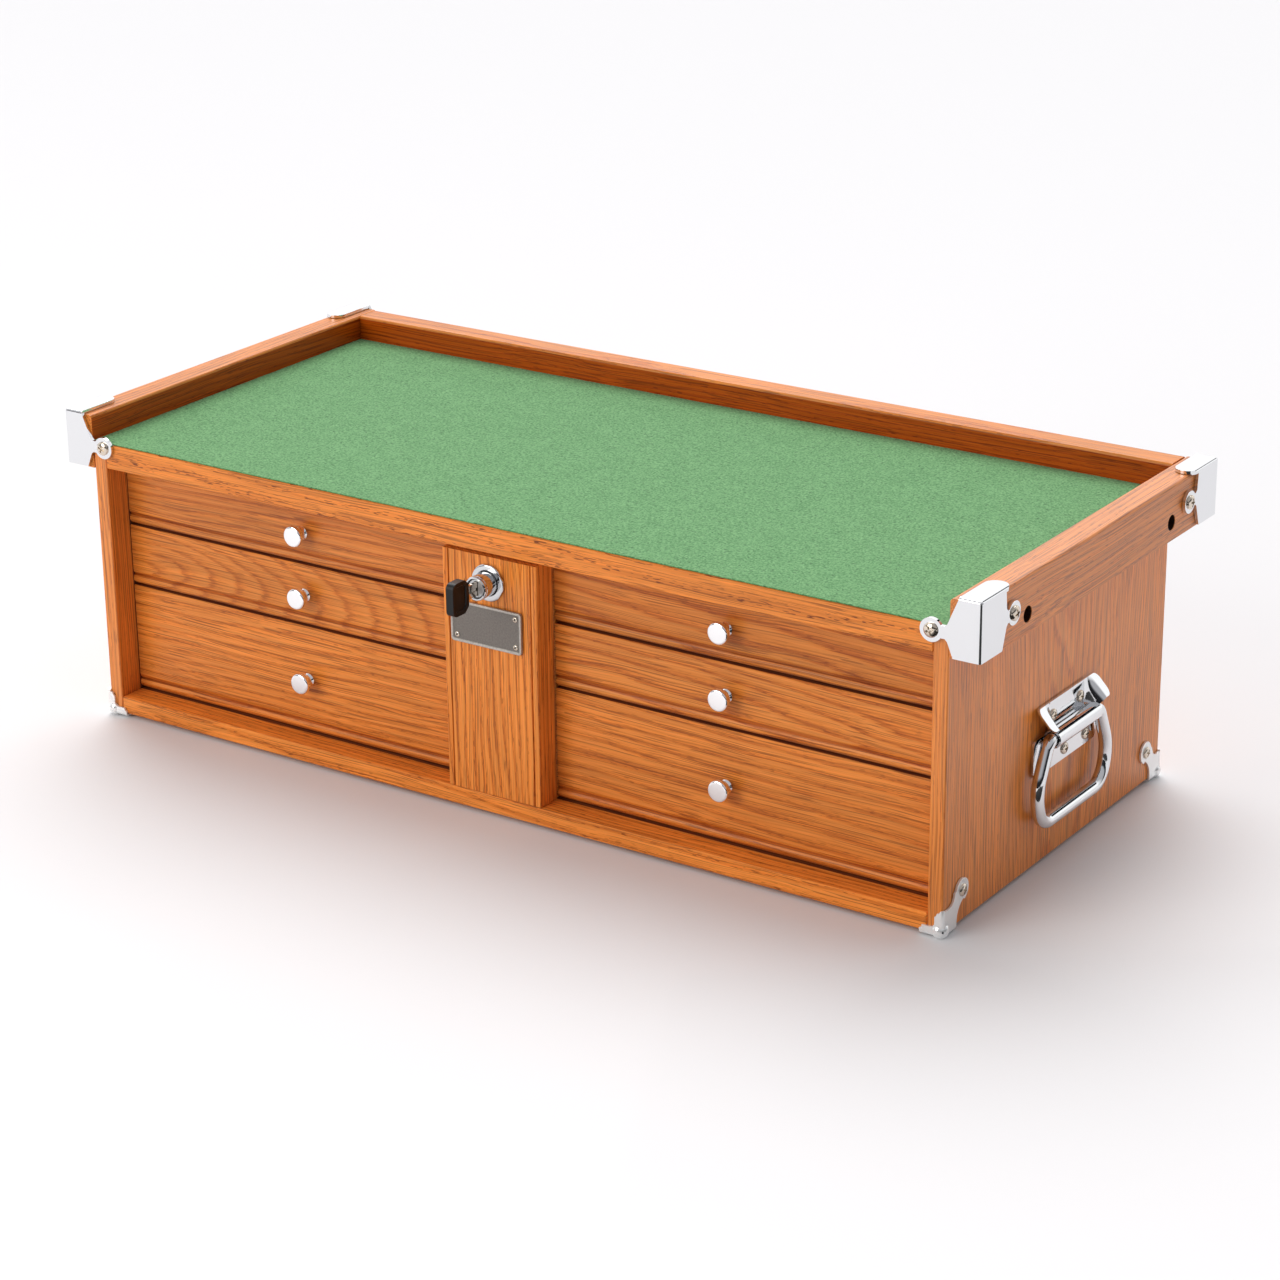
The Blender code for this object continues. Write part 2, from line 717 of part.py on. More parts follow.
def bail_wire(name):
    half = [(bail_neck_width / 2, 0, bail_neck_bend), (bail_width / 2, -bail_waist_drop, bail_side_bend),
            (bail_foot_width / 2, -bail_drop, bail_foot_bend)]
    corners = half + [(-y, z, radius) for y, z, radius in reversed(half)]
    route = filleted(corners, 6)
    curve = bpy.data.curves.new(name, "CURVE")
    curve.dimensions = "3D"
    curve.bevel_depth = bail_wire_radius
    curve.bevel_resolution = 3
    spline = curve.splines.new("POLY")
    spline.points.add(len(route) - 1)
    for point, (y, z) in zip(spline.points, route):
        point.co = (0, y, z, 1)
    spline.use_cyclic_u = True
    return curve


def make_handle(side, label):
    wood = side * half_width
    axis_x = side * (half_width + handle_axis_offset)
    upper, lower, barrel, bore = plate_parts()
    plate = piece(label + "_handle_plate", upper, chrome, (wood, handle_setback, handle_height))
    join(plate, lower)
    join(plate, barrel)
    cut(plate, bore)
    if side < 0:
        flipped = mirrored(plate, "flipped_plate", True, False, 0)
        plate.data = flipped.data
        bpy.data.objects.remove(flipped, do_unlink=True)
    axis = empty(label + "_bail_axis", (axis_x, handle_setback, handle_height), riser)
    bail = bpy.data.objects.new(label + "_bail", bail_wire(label + "_bail"))
    bpy.context.scene.collection.objects.link(bail)
    bail.parent = axis
    bail.data.materials.append(chrome)


# The lock bar's plan, x along its width and y back: a groove sets off a narrow bead at each edge
def bar_plan():
    half = bar_half
    depth = bar_thickness
    bead = half - bar_bead
    groove = bar_bead_groove
    right = [(half, depth), (half, edge_easing), (half - edge_easing, 0)]
    right += [(bead + groove / 2, 0), (bead, groove), (bead - groove / 2, 0)]
    return right + [(-x, y) for x, y in reversed(right)]


def make_lock_bar():
    floor = bottom_thickness + glue_gap
    top = top_underside - bar_top_gap
    home = (0, bar_setback, 0)
    bar = piece("lock_bar", prism(bar_plan(), "z", floor, top), oak, home)
    middle = bar_thickness / 2
    low_y = middle - tongue_thickness / 2
    high_y = middle + tongue_thickness / 2
    join(bar, block((-bar_half, low_y, top - mm), (bar_half, high_y, top_underside + tongue_head)))
    join(bar, block((-bar_half, low_y, floor - tongue_foot), (bar_half, high_y, floor + mm)))
    hole_radius = cylinder_radius + lock_clearance + housing_wall + lock_clearance
    cut(bar, prism(arc((0, lock_height), hole_radius, 0, 345, 23), "y", -mm, bar_thickness + mm))


def make_lock():
    axis = empty("lock_axis", (0, bar_setback, lock_height), riser)
    bore = cylinder_radius + lock_clearance
    tube = bore + housing_wall
    face = -glue_gap - bezel_thickness
    tail = bar_thickness + housing_tail
    lip = bezel_thickness / 3
    ring = [(bore, tail), (tube, tail), (tube, -glue_gap), (bezel_radius, -glue_gap)]
    ring += [(bezel_radius, face + lip), (bezel_radius - lip, face), (bore, face)]
    bezel = piece("lock_bezel", turned(ring, 36), chrome, parent=axis)
    across_corners = bezel_flats / math.sqrt(3)
    nut = prism(arc((0, 0), across_corners, 0, 300, 5), "y", face - mm, tail + mm)
    combine(bezel, nut, "INTERSECT")
    front = -cylinder_reach
    plug_face = front + plug_recess
    plug_back = plug_face + plug_length
    hollow = cylinder_radius - cylinder_rim
    rim = cylinder_rim / 3
    profile = [(0, tail + bolt_length), (bolt_radius, tail + bolt_length), (bolt_radius, tail)]
    profile += [(cylinder_radius, tail), (cylinder_radius, front + rim), (cylinder_radius - rim, front)]
    profile += [(hollow, front), (hollow, plug_back + lock_clearance), (0, plug_back + lock_clearance)]
    piece("lock_cylinder", turned(profile, 32), chrome, parent=axis, smooth=True)
    plug_radius = hollow - lock_clearance
    plug = [(0, plug_back), (plug_radius, plug_back), (plug_radius, plug_face), (0, plug_face)]
    plug = piece("lock_plug", turned(plug, 32), chrome, parent=axis)
    slot_x = key_blade_thickness / 2 + keyway_clearance
    slot_z = key_blade_height / 2 + keyway_clearance
    cut(plug, block((-slot_x, plug_face - mm, -slot_z), (slot_x, plug_face + keyway_depth, slot_z)))
    make_key(axis, front, plug_face + keyway_depth - keyway_clearance)


# The key in the lock's frame, its blade upright and its moulded bow to the front
def make_key(axis, cylinder_front, tip):
    shoulder = cylinder_front - key_shank
    front = shoulder - key_bow_length
    half = key_bow_height / 2
    bow = prism(rounded_box((front, -half), (shoulder, half), key_bow_corner), "x",
                -key_bow_thickness / 2, key_bow_thickness / 2)
    rims = [edge for edge in bow.edges if abs(edge.verts[0].co.x - edge.verts[1].co.x) < mm / 100]
    bmesh.ops.bevel(bow, geom=rims, offset=key_bow_easing, segments=2, affect="EDGES", profile=0.5)
    key = piece("key", bow, black_plastic, parent=axis)
    blade_x = key_blade_thickness / 2
    blade_z = key_blade_height / 2
    join(key, block((-blade_x, shoulder - key_bow_corner, -blade_z), (blade_x, tip, blade_z)))


make_case()
make_rails()
make_caps()
make_brackets()
for drawer_side in (-1, 1):
    for drawer_row in range(len(row_names)):
        make_drawer(drawer_side, drawer_row)
make_handle(-1, "left")
make_handle(1, "right")
make_lock_bar()
make_lock()
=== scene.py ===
import math
import bmesh
import bpy
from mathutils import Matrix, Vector


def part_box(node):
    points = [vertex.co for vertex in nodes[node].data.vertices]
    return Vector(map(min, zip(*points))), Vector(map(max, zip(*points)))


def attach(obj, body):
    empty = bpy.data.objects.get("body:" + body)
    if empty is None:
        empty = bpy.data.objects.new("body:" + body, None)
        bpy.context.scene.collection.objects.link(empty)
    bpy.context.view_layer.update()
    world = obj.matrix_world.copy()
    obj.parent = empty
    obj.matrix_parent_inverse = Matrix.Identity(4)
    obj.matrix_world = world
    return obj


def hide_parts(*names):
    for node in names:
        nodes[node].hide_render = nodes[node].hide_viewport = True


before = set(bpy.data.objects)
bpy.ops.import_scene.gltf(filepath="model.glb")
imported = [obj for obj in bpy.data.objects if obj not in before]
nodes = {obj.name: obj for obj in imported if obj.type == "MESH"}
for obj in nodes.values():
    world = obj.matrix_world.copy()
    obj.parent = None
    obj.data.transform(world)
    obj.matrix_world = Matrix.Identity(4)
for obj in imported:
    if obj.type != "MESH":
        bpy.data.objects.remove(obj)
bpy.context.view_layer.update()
mm = 0.001

# the case's own frame: x from its middle, y back from its front, z up from its underside, all in mm
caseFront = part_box("left_side_panel")[0][1]
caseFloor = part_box("left_side_panel")[0][2]
case = {"halfWidth": 330.0, "depth": 291.5, "railOuter": 349.8, "railLength": 311.3, "railFloor": 177.3,
        "railTop": 214.3, "gap": 0.3}


def at(x, y, z):
    return Vector((x * mm, caseFront + y * mm, caseFloor + z * mm))


def deselectAll():
    if bpy.context.object and bpy.context.object.mode != "OBJECT":
        bpy.ops.object.mode_set(mode="OBJECT")
    bpy.ops.object.select_all(action="DESELECT")


def only(piece):
    deselectAll()
    piece.select_set(True)
    bpy.context.view_layer.objects.active = piece


# points round a circle in two axes, both ends kept
def arcPoints(centre, radius, first, last, steps):
    turns = [math.radians(first + (last - first) * i / steps) for i in range(steps + 1)]
    return [(centre[0] + radius * math.cos(t), centre[1] + radius * math.sin(t)) for t in turns]


def roundedBox(low, high, radius, steps):
    points = []
    for a, b, turn in ((high[0] - radius, low[1] + radius, -90), (high[0] - radius, high[1] - radius, 0),
                       (low[0] + radius, high[1] - radius, 90), (low[0] + radius, low[1] + radius, 180)):
        points += arcPoints((a, b), radius, turn, turn + 90, steps)
    return points


# rounds each corner (a, b, radius) of a closed outline
def roundedOutline(corners, steps):
    points = []
    for i, (a, b, radius) in enumerate(corners):
        here = Vector((a, b))
        back = (Vector(corners[i - 1][:2]) - here).normalized()
        ahead = (Vector(corners[(i + 1) % len(corners)][:2]) - here).normalized()
        half = back.angle(ahead) / 2
        centre = here + (back + ahead).normalized() * (radius / math.sin(half))
        start = here + back * (radius / math.tan(half)) - centre
        end = here + ahead * (radius / math.tan(half)) - centre
        for k in range(steps + 1):
            swung = start.normalized().slerp(end.normalized(), k / steps) if radius else Vector((0, 0))
            points.append(centre + swung * radius)
    return [(p[0], p[1]) for p in points]


# draws a line of edges by extruding one vertex from point to point, and leaves edit mode on
def drawLine(name, points):
    deselectAll()
    bpy.ops.mesh.primitive_plane_add(size=mm, location=points[0])
    piece = bpy.context.object
    piece.name = name
    bpy.ops.object.mode_set(mode="EDIT")
    bpy.ops.mesh.select_all(action="SELECT")
    bpy.ops.mesh.merge(type="CENTER")
    for here, there in zip(points, points[1:]):
        bpy.ops.mesh.extrude_vertices_move(TRANSFORM_OT_translate={"value": there - here})
    return piece


# joins a drawn line's two ends and fills it with one face
def closeLine(piece, fill=True):
    drawn = bmesh.from_edit_mesh(piece.data)
    drawn.verts.ensure_lookup_table()
    ends = (drawn.verts[0], drawn.verts[-1])
    for vert in drawn.verts:
        vert.select = vert in ends
    drawn.select_flush_mode()
    bmesh.update_edit_mesh(piece.data)
    bpy.ops.mesh.edge_face_add()
    bpy.ops.mesh.select_all(action="SELECT")
    if fill:
        bpy.ops.mesh.edge_face_add()


# a plate of any outline: the outline drawn, filled and pulled out to its thickness
def pullOutline(name, points, pull):
    piece = drawLine(name, points)
    closeLine(piece)
    bpy.ops.mesh.extrude_region_move(TRANSFORM_OT_translate={"value": pull})
    bpy.ops.mesh.select_all(action="SELECT")
    bpy.ops.mesh.normals_make_consistent(inside=False)
    applyPlace(piece)
    return piece


# spins a drawn profile round an axis
def turnProfile(name, points, centre, axis, steps):
    piece = drawLine(name, points)
    bpy.ops.mesh.select_all(action="SELECT")
    bpy.ops.mesh.spin(steps=steps, angle=2 * math.pi, center=centre, axis=axis)
    bpy.ops.mesh.select_all(action="SELECT")
    bpy.ops.mesh.remove_doubles(threshold=0.00001)
    bpy.ops.mesh.normals_make_consistent(inside=False)
    applyPlace(piece)
    return piece


def addBlock(name, low, high):
    deselectAll()
    bpy.ops.mesh.primitive_cube_add(size=1, location=(low + high) / 2, scale=high - low)
    piece = bpy.context.object
    piece.name = name
    applyPlace(piece)
    return piece


def applyPlace(piece):
    only(piece)
    bpy.ops.object.transform_apply(location=True, rotation=True, scale=True)


def combine(piece, tool, operation):
    only(piece)
    bpy.ops.object.modifier_add(type="BOOLEAN")
    change = piece.modifiers[-1]
    change.operation = operation
    change.solver = "EXACT"
    change.object = tool
    bpy.ops.object.modifier_apply(modifier=change.name)
    discard(tool)


def discard(piece):
    only(piece)
    bpy.ops.object.delete()


# opens edit mode with just the edges or faces selected that pass a test
def pickParts(piece, kind, test):
    only(piece)
    bpy.ops.object.mode_set(mode="EDIT")
    bpy.ops.mesh.select_mode(type=kind)
    bpy.ops.mesh.select_all(action="DESELECT")
    mesh = bmesh.from_edit_mesh(piece.data)
    for part in mesh.edges if kind == "EDGE" else mesh.faces:
        part.select = test(part)
    bmesh.update_edit_mesh(piece.data)


def leaveEdit():
    bpy.ops.mesh.select_mode(type="VERT")
    bpy.ops.object.mode_set(mode="OBJECT")


def bevelEdges(piece, test, offset, segments):
    pickParts(piece, "EDGE", test)
    bpy.ops.mesh.bevel(offset=offset, segments=segments, profile=0.5, affect="EDGES", clamp_overlap=True)
    leaveEdit()


# eases every sharp edge by a bevel modifier, which is applied
def easeEdges(piece, width, segments=2, angle=35):
    only(piece)
    bpy.ops.object.modifier_add(type="BEVEL")
    ease = piece.modifiers[-1]
    ease.width = width
    ease.segments = segments
    ease.limit_method = "ANGLE"
    ease.angle_limit = math.radians(angle)
    ease.use_clamp_overlap = True
    bpy.ops.object.modifier_apply(modifier=ease.name)


def copyOf(piece, name):
    only(piece)
    bpy.ops.object.duplicate(linked=False)
    made = bpy.context.object
    made.name = name
    return made


# a mirrored copy, about the case's middle plane in x or about a plane in y
def mirrorOf(piece, name, flipX, flipY=None):
    made = copyOf(piece, name)
    bpy.ops.object.mode_set(mode="EDIT")
    bpy.ops.mesh.select_all(action="SELECT")
    if flipX:
        bpy.ops.transform.resize(value=(-1, 1, 1), center_override=(0, 0, 0))
    if flipY is not None:
        bpy.ops.transform.resize(value=(1, -1, 1), center_override=(0, flipY, 0))
    if flipX != (flipY is not None):
        bpy.ops.mesh.flip_normals()
    bpy.ops.object.mode_set(mode="OBJECT")
    return made


def joinPieces(pieces, name):
    deselectAll()
    for piece in pieces:
        piece.select_set(True)
    bpy.context.view_layer.objects.active = pieces[0]
    bpy.ops.object.join()
    made = bpy.context.object
    made.name = name
    return made


# smooths the shading, weights it to the large faces, gives the finish and lets the piece ride
def finishPiece(piece, finish, body, replaced=(), angle=40):
    applyPlace(piece)
    bpy.ops.object.shade_smooth_by_angle(angle=math.radians(angle))
    bpy.ops.object.modifier_add(type="WEIGHTED_NORMAL")
    piece.modifiers[-1].keep_sharp = True
    bpy.ops.object.modifier_apply(modifier=piece.modifiers[-1].name)
    piece.data.materials.clear()
    piece.data.materials.append(finish)
    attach(piece, body)
    if replaced:
        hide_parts(*replaced)
    return piece


# sRGB hex to linear
def linear(hexColour):
    parts = [int(hexColour[i:i + 2], 16) / 255 for i in (1, 3, 5)]
    return [p / 12.92 if p <= 0.04045 else ((p + 0.055) / 1.055) ** 2.4 for p in parts] + [1]


# adds a node with its settings; an input that is another node's output is linked
def addNode(tree, kind, inputs, **settings):
    node = tree.nodes.new(kind)
    for key, value in settings.items():
        setattr(node, key, value)
    for key, value in inputs.items():
        if isinstance(value, bpy.types.NodeSocket):
            tree.links.new(value, node.inputs[key])
        else:
            node.inputs[key].default_value = value
    return node


def newMaterial(name, settings):
    made = bpy.data.materials.new(name)
    made.use_nodes = True
    shader = made.node_tree.nodes["Principled BSDF"]
    for key, value in settings.items():
        shader.inputs[key].default_value = value
    return made, made.node_tree, shader


def setStops(ramp, stops):
    elements = ramp.color_ramp.elements
    while len(elements) < len(stops):
        elements.new(1)
    for element, (place, colour) in zip(elements, stops):
        element.position = place
        element.color = linear(colour)


# red oak, planed, stained honey orange under satin varnish: rings that start dark and fade, short dark pore
# dashes crowded where each ring starts, long fine vessel lines, a soft gloss
oakFinish = {"light": "#e79446", "middle": "#de812f", "dark": "#a84b0d", "pore": "#5e2303",
             "roughness": (0.28, 0.4)}
# its patterns, in mm along, across and into the board, with their detail: fibres that fray the rings, streaks that
# run its length, patches, pores (0.3 mm wide in the wood, drawn wider so that they show) and vessel lines
oakPatterns = {"fibre": ((130, 1.0, 1.0), 1.0), "streak": ((300, 4, 4), 2.0), "patch": ((140, 40, 40), 1.0),
               "pore": ((6, 0.75, 0.75), 0.0), "vessel": ((170, 0.7, 0.7), 0.0)}
# painted shade, multiplied into the stain: darkest on edges and faces seen in a gap, less in a groove,
# a redder darkening on the rails' inner faces inside the tray
# skin is how deep such a face is taken, and a groove lies between two depths, under a height or inside two edges
paintedShadeTable = {"edge": "#896f61", "groove": "#d6c0b0", "inner": "#d9a03a", "skin": 0.05, "behindFronts": 19.2,
               "frontGroove": (0.8, 1.7, 9.0), "barGroove": (0.4, 1.25, 0.5)}


# grain names the axes along the grain, across the face and into the board; pith is how far the ring centre
# lies behind and beside the face in mm, how fast it drifts along the board and where the board starts; ring is
# the width of one ring in mm, shade how light the board is, painted light and shade included, pores and gloss how
# far these show, and the last argument the painted shade tints with the tests that find the faces they darken, each
# an axis, a side and a limit in mm
def stainedOak(name, grain, pith, ring, figure, shade, pores, gloss, shadeTintTests):
    made, tree, shader = newMaterial(name, {"IOR": 1.5, "Specular IOR Level": gloss})
    place = addNode(tree, "ShaderNodeTexCoord", {}).outputs["Object"]
    inMm = addNode(tree, "ShaderNodeVectorMath", {0: place, 1: (1000, 1000, 1000)}, operation="MULTIPLY")
    axes = addNode(tree, "ShaderNodeSeparateXYZ", {0: inMm.outputs[0]})
    turned = addNode(tree, "ShaderNodeCombineXYZ", {0: axes.outputs[grain[0]], 1: axes.outputs[grain[1]],
                                                    2: axes.outputs[grain[2]]})
    behind, beside, drift, along = pith
    board = addNode(tree, "ShaderNodeVectorMath", {0: turned.outputs[0], 1: (along, beside, behind)},
                    operation="ADD")
    # the rings wander by a few mm over 200 mm of length
    wanderAt = addNode(tree, "ShaderNodeVectorMath", {0: board.outputs[0], 1: (1 / 200, 1 / 50, 1 / 50)},
                       operation="MULTIPLY")
    wander = addNode(tree, "ShaderNodeTexNoise", {"Vector": wanderAt.outputs[0], "Scale": 1.0, "Detail": 2.0})
    centred = addNode(tree, "ShaderNodeVectorMath", {0: wander.outputs["Color"], 1: (-0.5, -0.5, -0.5)},
                      operation="ADD")
    swung = addNode(tree, "ShaderNodeVectorMath", {0: centred.outputs[0], 1: (0, 11, 11), 2: board.outputs[0]},
                    operation="MULTIPLY_ADD")
    parts = addNode(tree, "ShaderNodeSeparateXYZ", {0: swung.outputs[0]})
    deep = addNode(tree, "ShaderNodeMath", {0: parts.outputs[0], 1: drift, 2: parts.outputs[2]},
                   operation="MULTIPLY_ADD")
    spoke = addNode(tree, "ShaderNodeCombineXYZ", {0: 0.0, 1: parts.outputs[1], 2: deep.outputs[0]})
    radius = addNode(tree, "ShaderNodeVectorMath", {0: spoke.outputs[0]}, operation="LENGTH")
    noise = {}
    for key, (size, detail) in oakPatterns.items():
        source = board if key == "patch" else swung
        stretched = addNode(tree, "ShaderNodeVectorMath", {0: source.outputs[0], 1: [1 / s for s in size]},
                            operation="MULTIPLY")
        noise[key] = addNode(tree, "ShaderNodeTexNoise", {"Vector": stretched.outputs[0], "Scale": 1.0,
                                                          "Detail": detail}).outputs["Fac"]
    frayed = addNode(tree, "ShaderNodeMath", {0: noise["fibre"], 1: 0.6 * ring, 2: radius.outputs["Value"]},
                     operation="MULTIPLY_ADD")
    rings = addNode(tree, "ShaderNodeMath", {0: frayed.outputs[0], 1: ring}, operation="DIVIDE")
    ringPart = addNode(tree, "ShaderNodeMath", {0: rings.outputs[0]}, operation="FRACT")
    ringTone = addNode(tree, "ShaderNodeValToRGB", {"Fac": ringPart.outputs[0]})
    setStops(ringTone, ((0.0, oakFinish["middle"]), (0.04, oakFinish["dark"]), (0.13, oakFinish["dark"]),
                        (0.32, oakFinish["middle"]), (0.85, oakFinish["light"]), (1.0, oakFinish["middle"])))
    fineSum = addNode(tree, "ShaderNodeMath", {0: noise["fibre"], 1: 0.5}, operation="MULTIPLY")
    streakSum = addNode(tree, "ShaderNodeMath", {0: noise["streak"], 1: 0.28, 2: fineSum.outputs[0]},
                        operation="MULTIPLY_ADD")
    patchSum = addNode(tree, "ShaderNodeMath", {0: noise["patch"], 1: 0.22, 2: streakSum.outputs[0]},
                       operation="MULTIPLY_ADD")
    # the level carries each board's lightness: its stain's tone, with painted light and shade in it
    level = addNode(tree, "ShaderNodeMapRange", {"Value": patchSum.outputs[0], "From Min": 0.35, "From Max": 0.65,
                                                 "To Min": 0.78 * shade, "To Max": 1.22 * shade})
    plain = addNode(tree, "ShaderNodeMix", {"Factor": figure, "A": linear(oakFinish["middle"]),
                                            "B": ringTone.outputs["Color"]}, data_type="RGBA")
    toned = addNode(tree, "ShaderNodeVectorMath", {0: plain.outputs["Result"], "Scale": level.outputs[0]},
                    operation="SCALE")
    poreSpot = addNode(tree, "ShaderNodeMapRange", {"Value": noise["pore"], "From Min": 0.62, "From Max": 0.67,
                                                    "To Min": 0.0, "To Max": pores})
    earlyBand = addNode(tree, "ShaderNodeMapRange", {"Value": ringPart.outputs[0], "From Min": 0.6, "From Max": 0.15,
                                                     "To Min": 0.1, "To Max": 1.0})
    poreMask = addNode(tree, "ShaderNodeMath", {0: poreSpot.outputs[0], 1: earlyBand.outputs[0]},
                       operation="MULTIPLY")
    vesselLine = addNode(tree, "ShaderNodeMapRange", {"Value": noise["vessel"], "From Min": 0.61, "From Max": 0.68,
                                                      "To Min": 0.0, "To Max": 0.5})
    darkMask = addNode(tree, "ShaderNodeMath", {0: poreMask.outputs[0], 1: vesselLine.outputs[0]},
                       operation="MAXIMUM")
    coloured = addNode(tree, "ShaderNodeMix", {"Factor": darkMask.outputs[0], "A": toned.outputs[0],
                                               "B": linear(oakFinish["pore"])}, data_type="RGBA")
    colour, bare = coloured.outputs["Result"], None
    # each tint is painted shade, multiplied into the colour on the faces its tests find
    for tint, tests in shadeTintTests:
        mask = None
        for axis, side, limit in tests:
            past = addNode(tree, "ShaderNodeMath", {0: axes.outputs[axis], 1: limit}, operation=side)
            mask = past if mask is None else addNode(tree, "ShaderNodeMath", {0: past.outputs[0], 1: mask.outputs[0]},
                                                     operation="MULTIPLY")
        colour = addNode(tree, "ShaderNodeMix", {"Factor": mask.outputs[0], "A": colour,
                                                 "B": linear(paintedShadeTable[tint])}, data_type="RGBA",
                         blend_type="MULTIPLY").outputs["Result"]
        if tint == "edge":
            bare = mask
    tree.links.new(colour, shader.inputs["Base Color"])
    low, high = oakFinish["roughness"]
    satin = addNode(tree, "ShaderNodeMapRange", {"Value": noise["fibre"], "From Min": 0.3, "From Max": 0.7,
                                                 "To Min": low, "To Max": high})
    if bare:  # no gloss on the faces given painted shade in the gaps
        satin = addNode(tree, "ShaderNodeMath", {0: satin.outputs[0], 1: bare.outputs[0]}, operation="MAXIMUM")
    tree.links.new(satin.outputs[0], shader.inputs["Roughness"])
    relief = addNode(tree, "ShaderNodeMath", {0: darkMask.outputs[0], 1: -1.0, 2: noise["fibre"]},
                     operation="MULTIPLY_ADD")
    bump = addNode(tree, "ShaderNodeBump", {"Height": relief.outputs[0], "Strength": 0.15, "Distance": 0.0003})
    tree.links.new(bump.outputs[0], shader.inputs["Normal"])
    return made


# birch, sanded, for what is inside: pale, with faint long streaks
def sandedBirch():
    made, tree, shader = newMaterial("sandedBirch", {"Roughness": 0.55, "IOR": 1.5})
    place = addNode(tree, "ShaderNodeTexCoord", {}).outputs["Object"]
    streakAt = addNode(tree, "ShaderNodeVectorMath", {0: place, 1: (1000 / 2.5, 1000 / 90, 1000 / 2.5)},
                       operation="MULTIPLY")
    streak = addNode(tree, "ShaderNodeTexNoise", {"Vector": streakAt.outputs[0], "Scale": 1.0, "Detail": 3.0})
    tone = addNode(tree, "ShaderNodeValToRGB", {"Fac": streak.outputs["Fac"]})
    setStops(tone, ((0.3, "#b98d5d"), (0.7, "#dcb988")))
    tree.links.new(tone.outputs["Color"], shader.inputs["Base Color"])
    bump = addNode(tree, "ShaderNodeBump", {"Height": streak.outputs["Fac"], "Strength": 0.15, "Distance": 0.0002})
    tree.links.new(bump.outputs[0], shader.inputs["Normal"])
    return made


# wool felt, pressed: flat green with a mottle of lighter and darker tufts, small dark specks and a soft nap
def pressedFelt():
    made, tree, shader = newMaterial("pressedFelt", {"Roughness": 0.95, "Sheen Weight": 0.12, "Sheen Roughness": 0.6,
                                                     "Specular IOR Level": 0.15})
    place = addNode(tree, "ShaderNodeTexCoord", {}).outputs["Object"]
    # fibre tufts are about 0.4 mm; drawn 1.5 mm across so that they show
    tuft = addNode(tree, "ShaderNodeTexNoise", {"Vector": place, "Scale": 1000 / 1.5, "Detail": 2.0,
                                                "Roughness": 0.7})
    cloud = addNode(tree, "ShaderNodeTexNoise", {"Vector": place, "Scale": 1000 / 14, "Detail": 2.0})
    both = addNode(tree, "ShaderNodeMath", {0: cloud.outputs["Fac"], 1: 0.1, 2: tuft.outputs["Fac"]},
                   operation="MULTIPLY_ADD")
    tone = addNode(tree, "ShaderNodeValToRGB", {"Fac": both.outputs[0]})
    setStops(tone, ((0.34, "#3f7441"), (0.54, "#5f935d"), (0.78, "#81b27a")))
    # specks about 1 mm across, one or two to a square centimetre
    speck = addNode(tree, "ShaderNodeTexNoise", {"Vector": place, "Scale": 1000 / 2.2, "Detail": 0.0})
    speckSpot = addNode(tree, "ShaderNodeMapRange", {"Value": speck.outputs["Fac"], "From Min": 0.68,
                                                     "From Max": 0.76, "To Min": 0.0, "To Max": 0.6})
    coloured = addNode(tree, "ShaderNodeMix", {"Factor": speckSpot.outputs[0], "A": tone.outputs["Color"],
                                               "B": linear("#2c5330")}, data_type="RGBA")
    tree.links.new(coloured.outputs["Result"], shader.inputs["Base Color"])
    bump = addNode(tree, "ShaderNodeBump", {"Height": tuft.outputs["Fac"], "Strength": 0.6, "Distance": 0.0006})
    tree.links.new(bump.outputs[0], shader.inputs["Normal"])
    return made


# metal, pressed or turned, then plated or polished: a mirror with a very slight waviness and a fine haze
def chromePlate(name, hexColour, waves, haze, metallic=1.0):
    made, tree, shader = newMaterial(name, {"Base Color": linear(hexColour), "Metallic": metallic})
    place = addNode(tree, "ShaderNodeTexCoord", {}).outputs["Object"]
    wave = addNode(tree, "ShaderNodeTexNoise", {"Vector": place, "Scale": 1000 / 9, "Detail": 1.0})
    bump = addNode(tree, "ShaderNodeBump", {"Height": wave.outputs["Fac"], "Strength": waves, "Distance": 0.0006})
    tree.links.new(bump.outputs[0], shader.inputs["Normal"])
    smear = addNode(tree, "ShaderNodeTexNoise", {"Vector": place, "Scale": 1000 / 4, "Detail": 2.0})
    gloss = addNode(tree, "ShaderNodeMapRange", {"Value": smear.outputs["Fac"], "From Min": 0.35, "From Max": 0.7,
                                                 "To Min": haze, "To Max": haze * 2})
    tree.links.new(gloss.outputs[0], shader.inputs["Roughness"])
    return made


# a fine even grain: two tones, a gloss where one is given, and a shallow relief that all follow it
def grainedSurface(name, settings, size, detail, tones, gloss, relief):
    made, tree, shader = newMaterial(name, settings)
    place = addNode(tree, "ShaderNodeTexCoord", {}).outputs["Object"]
    grain = addNode(tree, "ShaderNodeTexNoise", {"Vector": place, "Scale": 1000 / size, "Detail": detail})
    tone = addNode(tree, "ShaderNodeValToRGB", {"Fac": grain.outputs["Fac"]})
    setStops(tone, ((0.3, tones[0]), (0.7, tones[1])))
    tree.links.new(tone.outputs["Color"], shader.inputs["Base Color"])
    if gloss:
        satin = addNode(tree, "ShaderNodeMapRange", {"Value": grain.outputs["Fac"], "To Min": gloss[0],
                                                     "To Max": gloss[1]})
        tree.links.new(satin.outputs[0], shader.inputs["Roughness"])
    bump = addNode(tree, "ShaderNodeBump", {"Height": grain.outputs["Fac"], "Strength": relief[0],
                                            "Distance": relief[1]})
    tree.links.new(bump.outputs[0], shader.inputs["Normal"])
    return made


# steel, pressed and chrome plated: a clear cool mirror on the caps and handles
chrome = chromePlate("chromePlate", "#e4e5e7", 0.02, 0.05)
